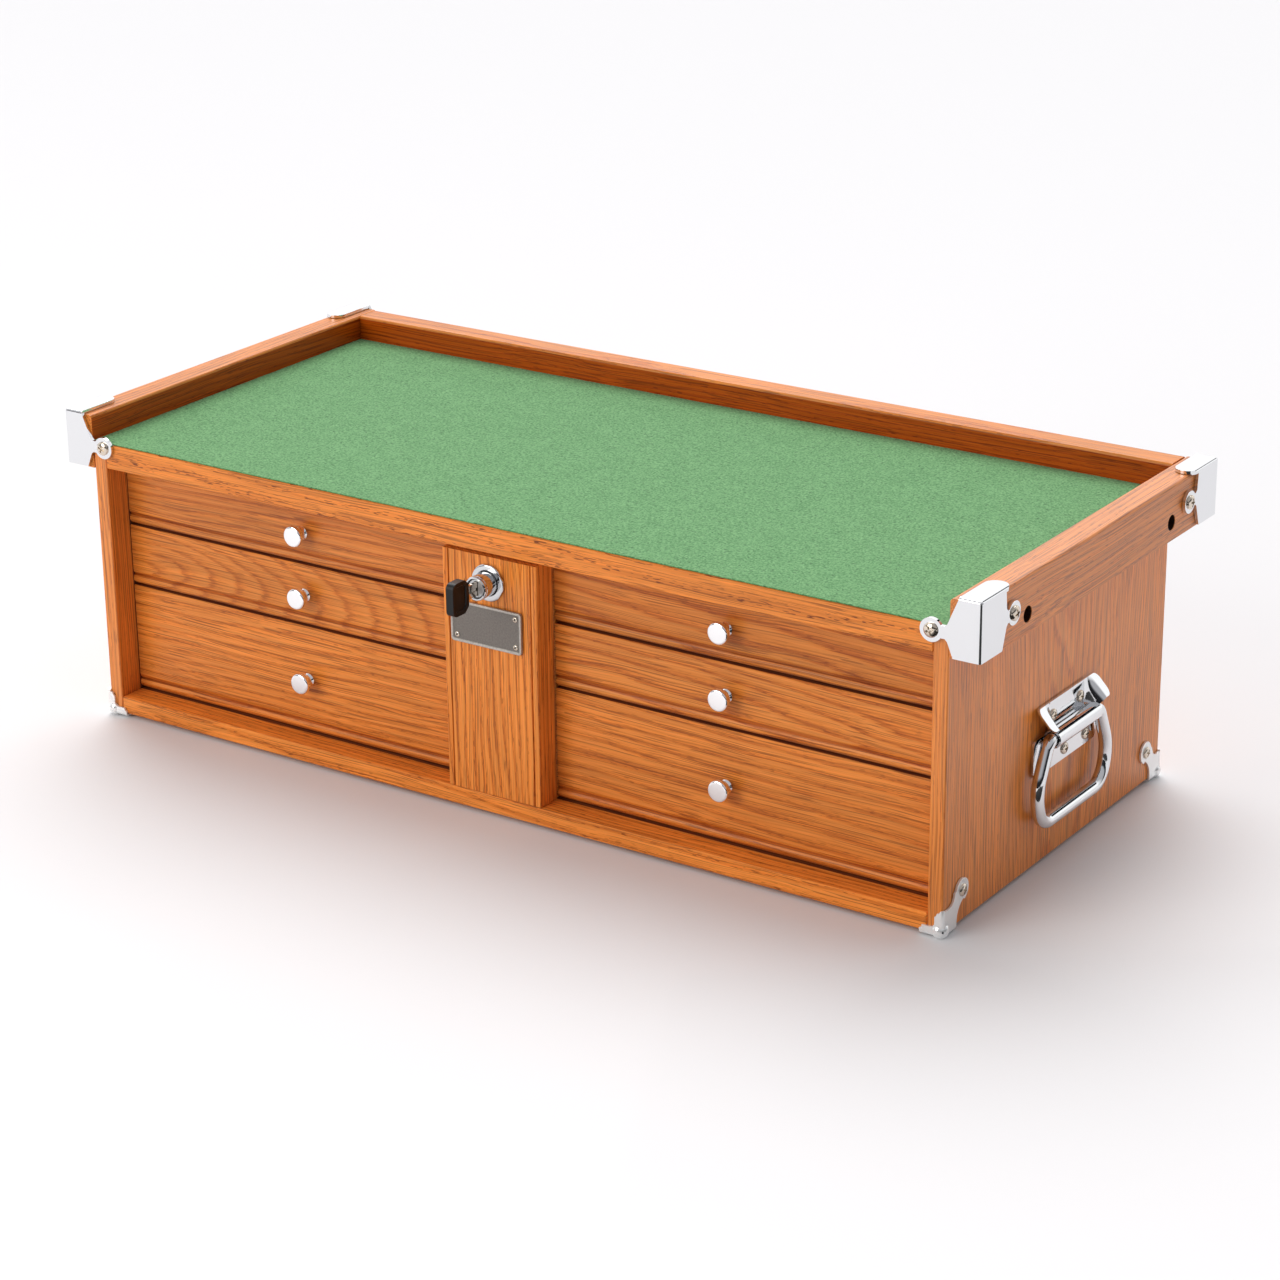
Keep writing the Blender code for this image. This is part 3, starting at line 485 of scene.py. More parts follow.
# brass, turned, buffed and chrome plated, on the knobs: its colour is made brighter than the caps' chrome,
# painted light that keeps the knob faces white where they mirror the shaded floor
paintedLightKnobChrome = chromePlate("paintedLightKnobChrome", "#f7f7f8", 0.03, 0.05)
# steel, chrome plated in a barrel, on the brackets: half of it a diffuse near-white, painted light that keeps
# them bright where they mirror the shaded floor
paintedLightBracketChrome = chromePlate("paintedLightBracketChrome", "#f4f6f6", 0.02, 0.08, 0.5)
# steel, nickel plated: a warm, slightly cloudy shine on screws, rivets and blade
brightNickel = chromePlate("brightNickel", "#dbcfbf", 0.02, 0.1)
# steel wire, near black: painted shade of the nail hole, so that a nail reads as a dark dot
nailHoleShadeSteel = chromePlate("nailHoleShadeSteel", "#1c1c1f", 0.02, 0.3)
# steel, turned and plated: a slightly greyer mirror on bezel and cylinder
lockSteel = chromePlate("lockSteel", "#cfd0d2", 0.02, 0.07)
# steel, turned and left satin: the dull face of the plug
satinSteel = chromePlate("satinSteel", "#c6c8ca", 0.02, 0.3, 0.8)
felt = pressedFelt()
birch = sandedBirch()
# zinc, cast and bead-blasted: a dull grey field with a fine grit, and a paler rubbed rim
zinc = grainedSurface("blastedZinc", {"Metallic": 0.6}, 1.1, 3.0, ("#6d6863", "#817b75"), (0.4, 0.6), (0.2, 0.0003))
rubbedZinc = grainedSurface("rubbedZinc", {"Metallic": 0.6}, 1.1, 3.0, ("#a29d96", "#bdb8b0"), (0.25, 0.45),
                            (0.2, 0.0003))
# end grain of the drilled oak, nearly black: painted shade for the inside of each hole, with a faint drill mark
endGrain = grainedSurface("holeShadeEndGrain", {"Roughness": 0.7, "Specular IOR Level": 0.2}, 1.2, 2.0,
                          ("#160803", "#33170a"), None, (0.4, 0.0003))
# ABS, moulded black with a fine spark-eroded grain
blackPlastic = grainedSurface("mouldedBlack", {"IOR": 1.53, "Specular IOR Level": 0.3}, 0.9, 2.0,
                              ("#030303", "#0b0b0c"), (0.32, 0.5), (0.2, 0.0002))
print("finishes made")

# each board has its own cut: axes along, across and into it, the pith behind, beside, its drift and a start, then
# the width of its rings, how strongly they show, how light it is (its stain, with painted light and shade where a
# board is made lighter or darker for how the light falls on it), and its pores and gloss
boards = {
    "left_side_panel": ("ZYX", (170, -150, 0.03, 300), 1.8, 0.42, 1.02, 0.3, 0.6),
    "right_side_panel": ("ZYX", (-170, -16, -0.03, 40), 1.8, 0.42, 1.02, 0.3, 0.6),
    "bottom_panel": ("XZY", (210, 30, 0.02, 700), 4.0, 0.4, 1.15, 0.6, 0.3),
    "top_panel": ("XZY", (230, -160, 0.01, 1500), 3.0, 0.2, 1.07, 0.85, 0.35),
    "back_panel": ("XZY", (-120, -60, 0.04, 900), 3.0, 0.5, 0.8, 0.4, 0.35),
    "left_partition": ("YZX", (120, 0, 0.03, 60), 4.0, 0.4, 0.9, 0.4, 0.3),
    "right_partition": ("YZX", (150, 0, 0.03, 260), 4.0, 0.4, 0.9, 0.4, 0.3),
    "left_rail": ("YZX", (420, -150, 0.02, 20), 3.0, 0.4, 0.96, 0.5, 0.25),
    "right_rail": ("YZX", (-430, -140, 0.02, 430), 3.0, 0.35, 0.93, 0.5, 0.6),
    "back_rail": ("XZY", (-210, -150, 0.02, 1900), 3.0, 0.4, 0.94, 0.5, 0.25),
    "left_upper_front": ("XZY", (210, -290, 0.02, 100), 5.0, 0.45, 0.83, 0.3, 0.35),
    "left_middle_front": ("XZY", (115.5, -106, 0.3, 325), 7.0, 0.42, 0.9, 0.35, 0.3),
    "left_lower_front": ("XZY", (170, -190, 0.03, 2600), 5.0, 0.42, 0.99, 0.4, 0.3),
    "right_upper_front": ("XZY", (240, -60, 0.03, 3300), 5.0, 0.6, 0.8, 0.4, 0.3),
    "right_middle_front": ("XZY", (150, -40, 0.03, 4100), 4.0, 0.6, 0.9, 0.4, 0.3),
    "right_lower_front": ("XZY", (165, 60, 0.03, 4700), 5.0, 0.45, 0.96, 0.4, 0.3),
    "lock_bar": ("ZXY", (190, 120, 0.02, 5200), 3.6, 0.5, 1.06, 0.5, 0.3)}
skin = paintedShadeTable["skin"]
behindFronts = (1, "GREATER_THAN", at(0, paintedShadeTable["behindFronts"], 0).y / mm)
for name, (grain, pith, *looks) in boards.items():
    letters = ["XYZ".index(letter) for letter in grain]
    low, high = (Vector(corner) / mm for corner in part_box(name))
    upper = (2, "GREATER_THAN", high.z - skin)
    toRight, toLeft = (0, "GREATER_THAN", high.x - skin), (0, "LESS_THAN", low.x + skin)
    shadeTintTests = []
    # painted shade in the groove above each front's bead
    if name.endswith("_front"):
        near, far, top = paintedShadeTable["frontGroove"]
        shadeTintTests.append(("groove", [(1, "GREATER_THAN", low.y + near), (1, "LESS_THAN", low.y + far),
                                  (2, "LESS_THAN", low.z + top)]))
    # painted shade in the lock bar's grooves
    if name == "lock_bar":
        near, far, edge = paintedShadeTable["barGroove"]
        shadeTintTests.append(("groove", [(1, "GREATER_THAN", low.y + near), (1, "LESS_THAN", low.y + far),
                                  (0, "GREATER_THAN", low.x + edge), (0, "LESS_THAN", high.x - edge)]))
    if name.endswith(("lower_front", "middle_front")) or name == "lock_bar":
        shadeTintTests.append(("edge", [upper]))  # painted shade on the upper edge that lies open in the gap over it
    # painted shade on the bottom's top behind the fronts, seen through the gap under them
    elif name == "bottom_panel":
        shadeTintTests.append(("edge", [behindFronts, upper]))
    # painted shade on the sides' inner faces behind the fronts
    elif name.endswith("side_panel"):
        shadeTintTests.append(("edge", [behindFronts, toRight if name.startswith("left") else toLeft]))
    # painted shade, darker and redder, on the rails' inner faces
    elif name.endswith("_rail"):
        inward = {"left_rail": toRight, "right_rail": toLeft, "back_rail": (1, "LESS_THAN", low.y + skin)}[name]
        shadeTintTests.append(("inner", [inward]))
    nodes[name].data.materials.clear()
    nodes[name].data.materials.append(stainedOak("stainedOak_" + name, letters, pith, *looks, shadeTintTests))
for name, node in nodes.items():
    if name.endswith(("_box", "_runner")):
        node.data.materials.clear()
        node.data.materials.append(birch)
print("wood given to", len(boards), "boards")


# felt: the top sheet and the six drawer liners
feltCut = {"cell": 5.0, "inset": 0.3, "edgeWander": 0.2, "ripple": 0.12, "rest": 0.12, "thin": 0.3}


def cutFelt(node, body):
    low, high = (Vector(corner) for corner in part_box(node))
    size = high - low
    cells = [max(4, round(length / (feltCut["cell"] * mm))) for length in (size.x, size.y)]
    middle = Vector(((low.x + high.x) / 2, (low.y + high.y) / 2, low.z + feltCut["rest"] * mm))
    deselectAll()
    bpy.ops.mesh.primitive_grid_add(x_subdivisions=cells[0], y_subdivisions=cells[1], size=1, location=middle)
    sheet = bpy.context.object
    sheet.name = node + "_sheet"
    inset = 2 * feltCut["inset"] * mm
    bpy.ops.transform.resize(value=(size.x - inset, size.y - inset, 1))
    applyPlace(sheet)
    bpy.ops.object.mode_set(mode="EDIT")
    bpy.ops.mesh.select_all(action="SELECT")  # the sheet lies a little rippled
    bpy.ops.transform.vertex_random(offset=feltCut["ripple"] * mm, uniform=0, normal=1, seed=4)
    bpy.ops.mesh.vertices_smooth(factor=0.5, repeat=3, xaxis=False, yaxis=False)
    bpy.ops.mesh.select_all(action="DESELECT")  # and scissors leave its edge uneven
    bpy.ops.mesh.select_non_manifold()
    bpy.ops.transform.vertex_random(offset=feltCut["edgeWander"] * mm, uniform=1, normal=0, seed=9)
    bpy.ops.transform.resize(value=(1, 1, 0), center_override=middle)
    bpy.ops.object.mode_set(mode="OBJECT")
    bpy.ops.object.modifier_add(type="SOLIDIFY")
    sheet.modifiers[-1].thickness = size.z - feltCut["thin"] * mm
    sheet.modifiers[-1].offset = 1
    bpy.ops.object.modifier_apply(modifier=sheet.modifiers[-1].name)
    finishPiece(sheet, felt, body, [node])
    return sheet


cutFelt("felt_top", "case")
for side in ("left", "right"):
    for row in ("lower", "middle", "upper"):
        cutFelt(side + "_" + row + "_liner", side + "_" + row + "_drawer")
print("felt cut and laid")


# screws: one pan-head cross screw, copied to every hole
screwCut = {"radius": 4.7, "dome": 2.3, "skirt": 0.5, "sunk": 0.2, "slotLength": 5.4, "slotWidth": 1.25,
            "slotDepth": 1.5}


def panScrew():
    r, h, skirt, sunk = screwCut["radius"], screwCut["dome"], screwCut["skirt"], screwCut["sunk"]
    profile = [(0, -sunk), (r, -sunk), (r, skirt)]
    profile += [(r * math.cos(t), skirt + (h - skirt) * math.sin(t)) for t in (0.25, 0.5, 0.8, 1.1, 1.35)]
    profile.append((0, h))
    points = [Vector((a * mm, 0, b * mm)) for a, b in profile]
    head = turnProfile("panScrew", points, (0, 0, 0), (0, 0, 1), 32)
    for turn in (0, 1):
        reach = [screwCut["slotLength"] / 2, screwCut["slotWidth"] / 2]
        if turn:
            reach.reverse()
        low = Vector((-reach[0] * mm, -reach[1] * mm, (h - screwCut["slotDepth"]) * mm))
        high = Vector((reach[0] * mm, reach[1] * mm, (h + 1) * mm))
        combine(head, addBlock("slot", low, high), "DIFFERENCE")
    return head


screwMaster = panScrew()


# seats copies of the screw; each seat is a place, the way it faces and how far its cross is turned
def seatScrews(name, seats, scale, body):
    made = []
    for place, facing, turn in seats:
        screw = copyOf(screwMaster, name)
        spin = Vector((0, 0, 1)).rotation_difference(Vector(facing)).to_matrix().to_4x4()
        screw.rotation_euler = spin.to_euler()
        screw.location = place
        screw.scale = (scale, scale, scale)
        bpy.ops.object.transform_apply(location=True, rotation=True, scale=True)
        if turn:
            bpy.ops.object.mode_set(mode="EDIT")
            bpy.ops.mesh.select_all(action="SELECT")
            axis = "X" if abs(facing[0]) > 0.5 else "Y"
            bpy.ops.transform.rotate(value=math.radians(turn), orient_axis=axis, center_override=place)
            bpy.ops.object.mode_set(mode="OBJECT")
        made.append(screw)
    return finishPiece(joinPieces(made, name), brightNickel, body)


# a corner pressed from sheet: a block with its three bends rounded, hollowed, then cut to its outlines
def pressedCorner(name, corner, reach, sheet, bend, upward, outlines):
    x, y, z = corner
    rise = -reach if upward else reach
    low, high = at(x - reach, y, min(z, z + rise)), at(x, y + reach, max(z, z + rise))
    made = addBlock(name, low, high)
    tip = at(x, y, z)
    bevelEdges(made, lambda edge: any((v.co - tip).length < 0.01 * mm for v in edge.verts), bend * mm, 6)
    inner = z - sheet if upward else z + sheet
    far = z + rise * 1.05
    hollow = addBlock("hollow", at(x - reach - 1, y + sheet, min(inner, far)),
                      at(x - sheet, y + reach + 1, max(inner, far)))
    combine(made, hollow, "DIFFERENCE")
    cutter = None
    for points, pull in outlines:
        part = pullOutline("outline", points, pull)
        if cutter is None:
            cutter = part
        else:
            combine(cutter, part, "UNION")
    combine(made, cutter, "INTERSECT")
    return made


# rail caps, measured in from their outer faces
cap = {"sheet": 2.2, "bend": 1.9, "ear": 7.5, "neck": 8.0, "frontTop": 14.4, "frontNeck": 22.3, "frontBottom": 18.4,
       "frontEar": (33.0, 16.2), "sideTop": 29.0, "sideNeck": 30.5, "sideBottom": 26.0, "sideEar": (40.2, 20.4),
       "topLength": 38.0, "topWidth": 15.3, "bottomRise": 1.1, "flare": 1.6, "blank": 60, "ease": 0.35,
       "screw": 1.0, "twist": (20, 12)}
capX = case["railOuter"] + case["gap"] + cap["sheet"]
capY = -case["gap"] - cap["sheet"]
capZ = case["railTop"] + case["gap"] + cap["sheet"]


# a screw ear on its neck, with the neck's roots flared
def earOutline(root, centre, way):
    half, flare = cap["neck"] / 2, cap["flare"]
    opening = math.degrees(math.asin(half / cap["ear"]))
    start = -opening if way < 0 else 180 + opening
    sweep = -(360 - 2 * opening) if way < 0 else 360 - 2 * opening
    ring = arcPoints(centre, cap["ear"], start, start + sweep, 36)
    return [(root, centre[1] - half - flare), (root + way * flare, centre[1] - half)] + ring + [
        (root + way * flare, centre[1] + half), (root, centre[1] + half + flare)]


def pressCap():
    bottom = case["railFloor"] + cap["bottomRise"]
    past = 1.0  # the cutters reach this far past the faces
    frontEar = (capX - cap["frontEar"][0], case["railFloor"] + cap["frontEar"][1])
    front = [(capX + past, bottom), (capX - cap["frontBottom"], bottom)]
    front += earOutline(capX - cap["frontNeck"], frontEar, -1)
    front += [(capX - cap["frontTop"], capZ + past), (capX + past, capZ + past)]
    sideEar = (capY + cap["sideEar"][0], case["railFloor"] + cap["sideEar"][1])
    side = [(capY - past, bottom), (capY + cap["sideBottom"], bottom)]
    side += earOutline(capY + cap["sideNeck"], sideEar, 1)
    side += [(capY + cap["sideTop"], capZ + past), (capY - past, capZ + past)]
    nose = cap["topWidth"] / 2
    noseAt = (capX - nose, capY + cap["topLength"] - nose)
    top = [(capX - cap["topWidth"], capY - past), (capX + past, capY - past), (capX + past, noseAt[1])]
    top += arcPoints(noseAt, nose, 0, 180, 16)
    inside = case["gap"]
    outlines = [([at(a, capY - past, b) for a, b in front], Vector((0, (inside + past - capY) * mm, 0))),
                ([at(case["railOuter"] - inside, a, b) for a, b in side],
                 Vector(((capX + past - case["railOuter"] + inside) * mm, 0, 0))),
                ([at(a, b, case["railTop"] - inside) for a, b in top],
                 Vector((0, 0, (capZ + past - case["railTop"] + inside) * mm)))]
    made = pressedCorner("front_right_railCap", (capX, capY, capZ), cap["blank"], cap["sheet"], cap["bend"], True,
                         outlines)
    easeEdges(made, cap["ease"] * mm)
    return made, frontEar, sideEar


# the counterbored holes: a wall nearly black with painted shade, with the screw that holds the rail at its foot
railHole = {"radius": 5.25, "slack": 0.05, "wall": 0.35, "depth": 15.0, "height": 189.7, "along": (59.0, 252.3),
            "across": (-240.0, 0.0, 240.0), "base": 1.0, "screw": 0.9, "twist": 30}


def lineHole(name, mouth, inward):
    outer, depth = railHole["radius"] - railHole["slack"], railHole["depth"] - railHole["slack"]
    inner, lip, floor = outer - railHole["wall"], railHole["wall"], depth - railHole["base"]
    profile = [(outer - 0.1, lip), (outer, lip + 0.1), (outer, depth), (0, depth), (0, floor), (inner, floor),
               (inner, lip + 0.2), (outer - 0.1, lip)]
    points = [mouth + Vector((0, 0, a * mm)) + inward * (b * mm) for a, b in profile]
    return turnProfile(name, points, mouth, inward, 32)


def lineHoles():
    holes = [(handed * case["railOuter"], y, (handed, 0, 0)) for handed in (-1, 1) for y in railHole["along"]]
    holes += [(x, case["railLength"], (0, 1, 0)) for x in railHole["across"]]
    made, seats = [], []
    for x, y, outward in holes:
        mouth, out = at(x, y, railHole["height"]), Vector(outward)
        made.append(lineHole("hole", mouth, -out))
        seats.append((mouth - out * (railHole["depth"] - railHole["base"]) * mm, outward, railHole["twist"]))
    # the linings carry the painted shade of the holes
    finishPiece(joinPieces(made, "holeShadeLinings"), endGrain, "case")
    seatScrews("railScrews", seats, railHole["screw"], "case")


lineHoles()
print("rail holes lined")
railCap, frontEar, sideEar = pressCap()
railMiddle = at(0, case["railLength"] / 2, 0).y
capScrews = []
for end in ("front", "rear"):
    for side in ("left", "right"):
        flipY = railMiddle if end == "rear" else None
        name = end + "_" + side
        piece = railCap if name == "front_right" else mirrorOf(railCap, name + "_railCap", side == "left", flipY)
        finishPiece(piece, chrome, "case", [name + "_cap"])
        handed = -1 if side == "left" else 1
        faceY = capY if end == "front" else case["railLength"] - capY
        earY = sideEar[0] if end == "front" else case["railLength"] - sideEar[0]
        outwardY = -1 if end == "front" else 1
        capScrews.append((at(handed * frontEar[0], faceY, frontEar[1]), (0, outwardY, 0),
                          cap["twist"][0] * handed))
        capScrews.append((at(handed * capX, earY, sideEar[1]), (handed, 0, 0), cap["twist"][1] * outwardY))
seatScrews("capScrews", capScrews, cap["screw"], "case")
print("rail caps pressed and screwed on")


# bottom brackets, with a rounded ball corner and ornamental ends
bracket = {"sheet": 1.4, "bend": 2.2, "leg": 16.5, "width": 6.1, "height": 17.0, "tongue": (21.5, 21.8, 7.5),
           "notch": 1.5, "crook": 3.2, "ball": (5.5, 4.0, 3.5), "foot": 1.0, "blank": 42, "ease": 0.25, "screw": 0.86,
           "twist": 25}
# the nail's hole, its slack, its height over the ball's middle, and how far out from there hole and nail reach
nailCut = {"hole": 0.7, "slack": 0.05, "rise": 0.5, "foot": 4.0, "tip": 5.25}
bracketOut = case["gap"] + bracket["sheet"]


def pressBracket():
    x, y, z = case["halfWidth"] + bracketOut, -bracketOut, -bracketOut
    past, notch = 1.0, bracket["notch"]
    leg, width, height, crook = bracket["leg"], bracket["width"], bracket["height"], bracket["crook"]
    front = [(x + past, z - past), (x - leg, z - past), (x - leg, z + width - notch * 1.6),
             (x - leg + notch, z + width - notch), (x - leg + notch * 1.2, z + width)]
    front += arcPoints((x - width - crook, z + width + crook), crook, -90, 0, 8)
    front += [(x - width, z + height - notch * 2.6), (x - width + notch * 0.8, z + height - notch * 1.8),
              (x - width + notch, z + height - notch), (x - width + notch * 2.2, z + height - notch * 0.7),
              (x - width + notch * 2.5, z + height + notch * 0.3), (x + past, z + height + notch)]
    reachY, rise, radius = bracket["tongue"]
    lobe = (y + bracketOut + reachY, z + bracketOut + rise)
    hollow = rise - radius
    side = [(y - past, z - past), (y + leg, z - past)]
    side += arcPoints((y + leg + hollow, z + hollow / 3), hollow, 180, 118, 10)
    side += arcPoints(lobe, radius, -68, 168, 28)
    shoulder = reachY - radius
    side += arcPoints((y + shoulder / 2, z + height + shoulder / 2), shoulder / 2, 0, -90, 8)
    side.append((y - past, z + height))
    sole = [(x + past, y - past), (x + past, y + leg), (x - width, y + leg), (x - leg, y + width),
            (x - leg, y - past)]
    inside = case["gap"]
    deep = (past + bracketOut + inside) * mm
    outlines = [([at(a, y - past, b) for a, b in front], Vector((0, deep, 0))),
                ([at(case["halfWidth"] - inside, a, b) for a, b in side], Vector((deep, 0, 0))),
                ([at(a, b, z - past) for a, b in sole], Vector((0, 0, deep)))]
    made = pressedCorner("front_right_cornerBracket", (x, y, z), bracket["blank"], bracket["sheet"], bracket["bend"],
                         False, outlines)
    easeEdges(made, bracket["ease"] * mm)
    # the ball pressed out at the corner, which the case stands on
    radius, inset, height = bracket["ball"]
    deselectAll()
    bpy.ops.mesh.primitive_uv_sphere_add(segments=40, ring_count=24, radius=radius * mm,
                                         location=at(x - inset, y + inset, z + height))
    ball = bpy.context.object
    applyPlace(ball)
    wall, far = bracket["sheet"] - 0.05, 30
    combine(ball, addBlock("wood", at(x - far, y + wall, z + wall), at(x - wall, y + far, z + far)), "DIFFERENCE")
    under = addBlock("floor", at(x - far, y - far, z - far), at(x + far, y + far, z - bracket["foot"]))
    combine(ball, under, "DIFFERENCE")
    combine(made, ball, "UNION")
    # the nail is driven in across the corner
    foot, tip, shaft = nailCut["foot"], nailCut["tip"], nailCut["hole"] - nailCut["slack"]
    heart = at(x - inset, y + inset, z + height + nailCut["rise"])
    out, across = Vector((mm, -mm, 0)) / math.sqrt(2), Vector((mm, mm, 0)) / math.sqrt(2)
    ring = arcPoints((0, 0), nailCut["hole"], 0, 345, 23)
    mouth = [heart + out * foot * 2 + across * a + Vector((0, 0, b * mm)) for a, b in ring]
    combine(made, pullOutline("hole", mouth, out * -foot), "DIFFERENCE")
    profile = [(0, foot + 0.1), (shaft, foot + 0.1), (shaft, tip - 0.15), (shaft - 0.15, tip - 0.05), (0, tip)]
    nail = turnProfile("nail", [heart + across * a + out * b for a, b in profile], heart, out, 20)
    return made, nail, lobe


cornerBracket, cornerNail, lobe = pressBracket()
caseMiddle = at(0, case["depth"] / 2, 0).y
bracketScrews, nails = [], [cornerNail]
for end in ("front", "rear"):
    for side in ("left", "right"):
        name = end + "_" + side
        flipY = caseMiddle if end == "rear" else None
        piece = cornerBracket
        if name != "front_right":
            piece = mirrorOf(cornerBracket, name + "_cornerBracket", side == "left", flipY)
            nails.append(mirrorOf(cornerNail, "nail", side == "left", flipY))
        # the brackets' whitened chrome is painted light
        finishPiece(piece, paintedLightBracketChrome, "case", [name + "_bracket"])
        handed = -1 if side == "left" else 1
        lobeY = lobe[0] if end == "front" else case["depth"] - lobe[0]
        bracketScrews.append((at(handed * (case["halfWidth"] + bracketOut), lobeY, lobe[1]), (handed, 0, 0),
                              bracket["twist"]))
seatScrews("bracketScrews", bracketScrews, bracket["screw"], "case")
# the near-black nails carry the painted shade of their holes
finishPiece(joinPieces(nails, "bracketNails"), nailHoleShadeSteel, "case")
print("corner brackets pressed and screwed on")


# side handles: a stamped plate with wings and a rolled barrel, and a bail of bent rod
handle = {"setback": 150.0, "height": 85.0, "sheet": 1.8, "axis": 7.6, "lap": 0.15, "flange": (78.0, 21.5),
          "wing": (23.0, 32.0), "wingReach": 14.0, "wingFoot": 8.8, "lower": (84.0, 23.5, 1.6), "corner": 4.0,
          "barrel": (57.0, 5.9), "wire": 4.3, "slack": 0.4, "cells": (14, 78), "ease": 0.35, "screw": 0.84,
          "bend": [(34, 0, 6.5), (48.5, -31, 31), (40, -53.5, 15)],
          "seats": [(131.7, 96.8), (168.3, 96.8), (119.5, 68.5), (149, 68.5), (177.5, 68.5)]}


def onHandle(out, along, up):
    return at(case["halfWidth"] + out, handle["setback"] + along, handle["height"] + up)


# the upper flange: a flat sheet whose ends are bent out, column by column, about its upper edge
def bendFlange():
    width, rise = handle["flange"]
    face = case["gap"] + handle["lap"] + handle["sheet"]
    deselectAll()
    middle = onHandle(face, 0, rise / 2)
    rows, across = handle["cells"]
    bpy.ops.mesh.primitive_grid_add(x_subdivisions=rows, y_subdivisions=across, size=1, location=middle,
                                    rotation=(0, math.radians(90), 0))
    sheet = bpy.context.object
    sheet.name = "right_stampedPlate"
    applyPlace(sheet)
    bpy.ops.object.mode_set(mode="EDIT")
    bpy.ops.mesh.select_all(action="SELECT")
    bpy.ops.transform.resize(value=(1, width * mm, rise * mm), center_override=middle)
    root, crest = handle["wing"]
    out, down = handle["wingReach"] - face, rise - handle["wingFoot"]
    swing, slant = math.atan2(out, down), math.hypot(out, down)
    mesh = bmesh.from_edit_mesh(sheet.data)
    columns = sorted({round(vert.co.y, 6) for vert in mesh.verts})
    for y in columns:
        share = min(max((abs(y - middle.y) / mm - root) / (crest - root), 0), 1)
        lean = share * share * (3 - 2 * share)
        if not lean:
            continue
        mesh = bmesh.from_edit_mesh(sheet.data)
        for vert in mesh.verts:
            vert.select = abs(vert.co.y - y) < 0.01 * mm
        mesh.select_flush_mode()
        bmesh.update_edit_mesh(sheet.data)
        top = Vector((middle.x, y, middle.z + rise / 2 * mm))
        bpy.ops.transform.resize(value=(1, 1, 1 + (slant / rise - 1) * lean), center_override=top)
        bpy.ops.transform.rotate(value=swing * lean, orient_axis="Y", center_override=top)
    bpy.ops.mesh.select_all(action="SELECT")
    bpy.ops.mesh.extrude_region_move(TRANSFORM_OT_translate={"value": (-handle["sheet"] * mm, 0, 0)})
    bpy.ops.mesh.select_all(action="SELECT")
    bpy.ops.mesh.normals_make_consistent(inside=False)
    bpy.ops.object.mode_set(mode="OBJECT")
    half, corner, foot = width / 2 - 0.02, handle["corner"], handle["wingFoot"] + 0.1
    outline = roundedOutline([(half, foot, corner), (half, rise - 0.02, corner), (-half, rise - 0.02, corner),
                              (-half, foot, corner), (-crest - 0.5, foot, 0), (-root, -2, 0), (root, -2, 0),
                              (crest + 0.5, foot, 0)], 8)
    trim = pullOutline("trim", [onHandle(-3, a, b) for a, b in outline], Vector((30 * mm, 0, 0)))
    combine(sheet, trim, "INTERSECT")
    return sheet


def stampPlate():
    plate = bendFlange()
    gap, sheet = case["gap"], handle["sheet"]
    barrelWidth, barrel = handle["barrel"]
    lowWidth, drop, top = handle["lower"]
    low = roundedBox((-lowWidth / 2, -drop), (lowWidth / 2, top), handle["corner"], 8)
    lower = pullOutline("flange", [onHandle(gap, a, b) for a, b in low], Vector((sheet * mm, 0, 0)))
    ring = arcPoints((handle["axis"], 0), barrel, 3.75, 356.25, 47)
    combine(lower, pullOutline("barrel", [onHandle(a, -barrelWidth / 2, b) for a, b in ring],
                               Vector((0, barrelWidth * mm, 0))), "UNION")
    combine(plate, lower, "UNION")
    bore = arcPoints((handle["axis"], 0), handle["wire"] + handle["slack"], 3.75, 356.25, 47)
    combine(plate, pullOutline("bore", [onHandle(a, -60, b) for a, b in bore], Vector((0, 120 * mm, 0))),
            "DIFFERENCE")
    easeEdges(plate, handle["ease"] * mm)
    return plate


def bendBail():
    corners = handle["bend"] + [(-y, z, r) for y, z, r in reversed(handle["bend"])]
    route = [onHandle(handle["axis"], y, z) for y, z in roundedOutline(corners, 14)]
    rod = drawLine("right_bentBail", route)
    closeLine(rod, fill=False)
    bpy.ops.object.mode_set(mode="OBJECT")
    bpy.ops.object.convert(target="CURVE")
    rod = bpy.context.object
    rod.data.bevel_depth = handle["wire"] * mm
    rod.data.bevel_resolution = 6
    bpy.ops.object.convert(target="MESH")
    rod = bpy.context.object
    applyPlace(rod)
    return rod


plate, bail = stampPlate(), bendBail()
handleScrews = []
for side, handed in (("right", 1), ("left", -1)):
    madePlate = plate if side == "right" else mirrorOf(plate, "left_stampedPlate", True)
    finishPiece(madePlate, chrome, "case", [side + "_handle_plate"])
    madeBail = bail if side == "right" else mirrorOf(bail, "left_bentBail", True)
    finishPiece(madeBail, chrome, side + "_bail", [side + "_bail"], 60)
    for y, z in handle["seats"]:
        face = case["halfWidth"] + case["gap"] + handle["sheet"] + (handle["lap"] if z > handle["height"] else 0)
        handleScrews.append((at(handed * face, y, z), (handed, 0, 0), (y * 7) % 40))  # each cross stops elsewhere
seatScrews("handleScrews", handleScrews, handle["screw"], "case")
discard(screwMaster)
print("handles stamped, bent and screwed on")


# knobs: a flat mushroom turned on a waisted stem
knob = {"spacing": 166.0, "face": 19.0, "reach": 11.4, "radius": 7.3, "foot": 4.6, "stem": 3.2,
        "rows": {"lower": 51.4, "middle": 111.95, "upper": 155.85}}


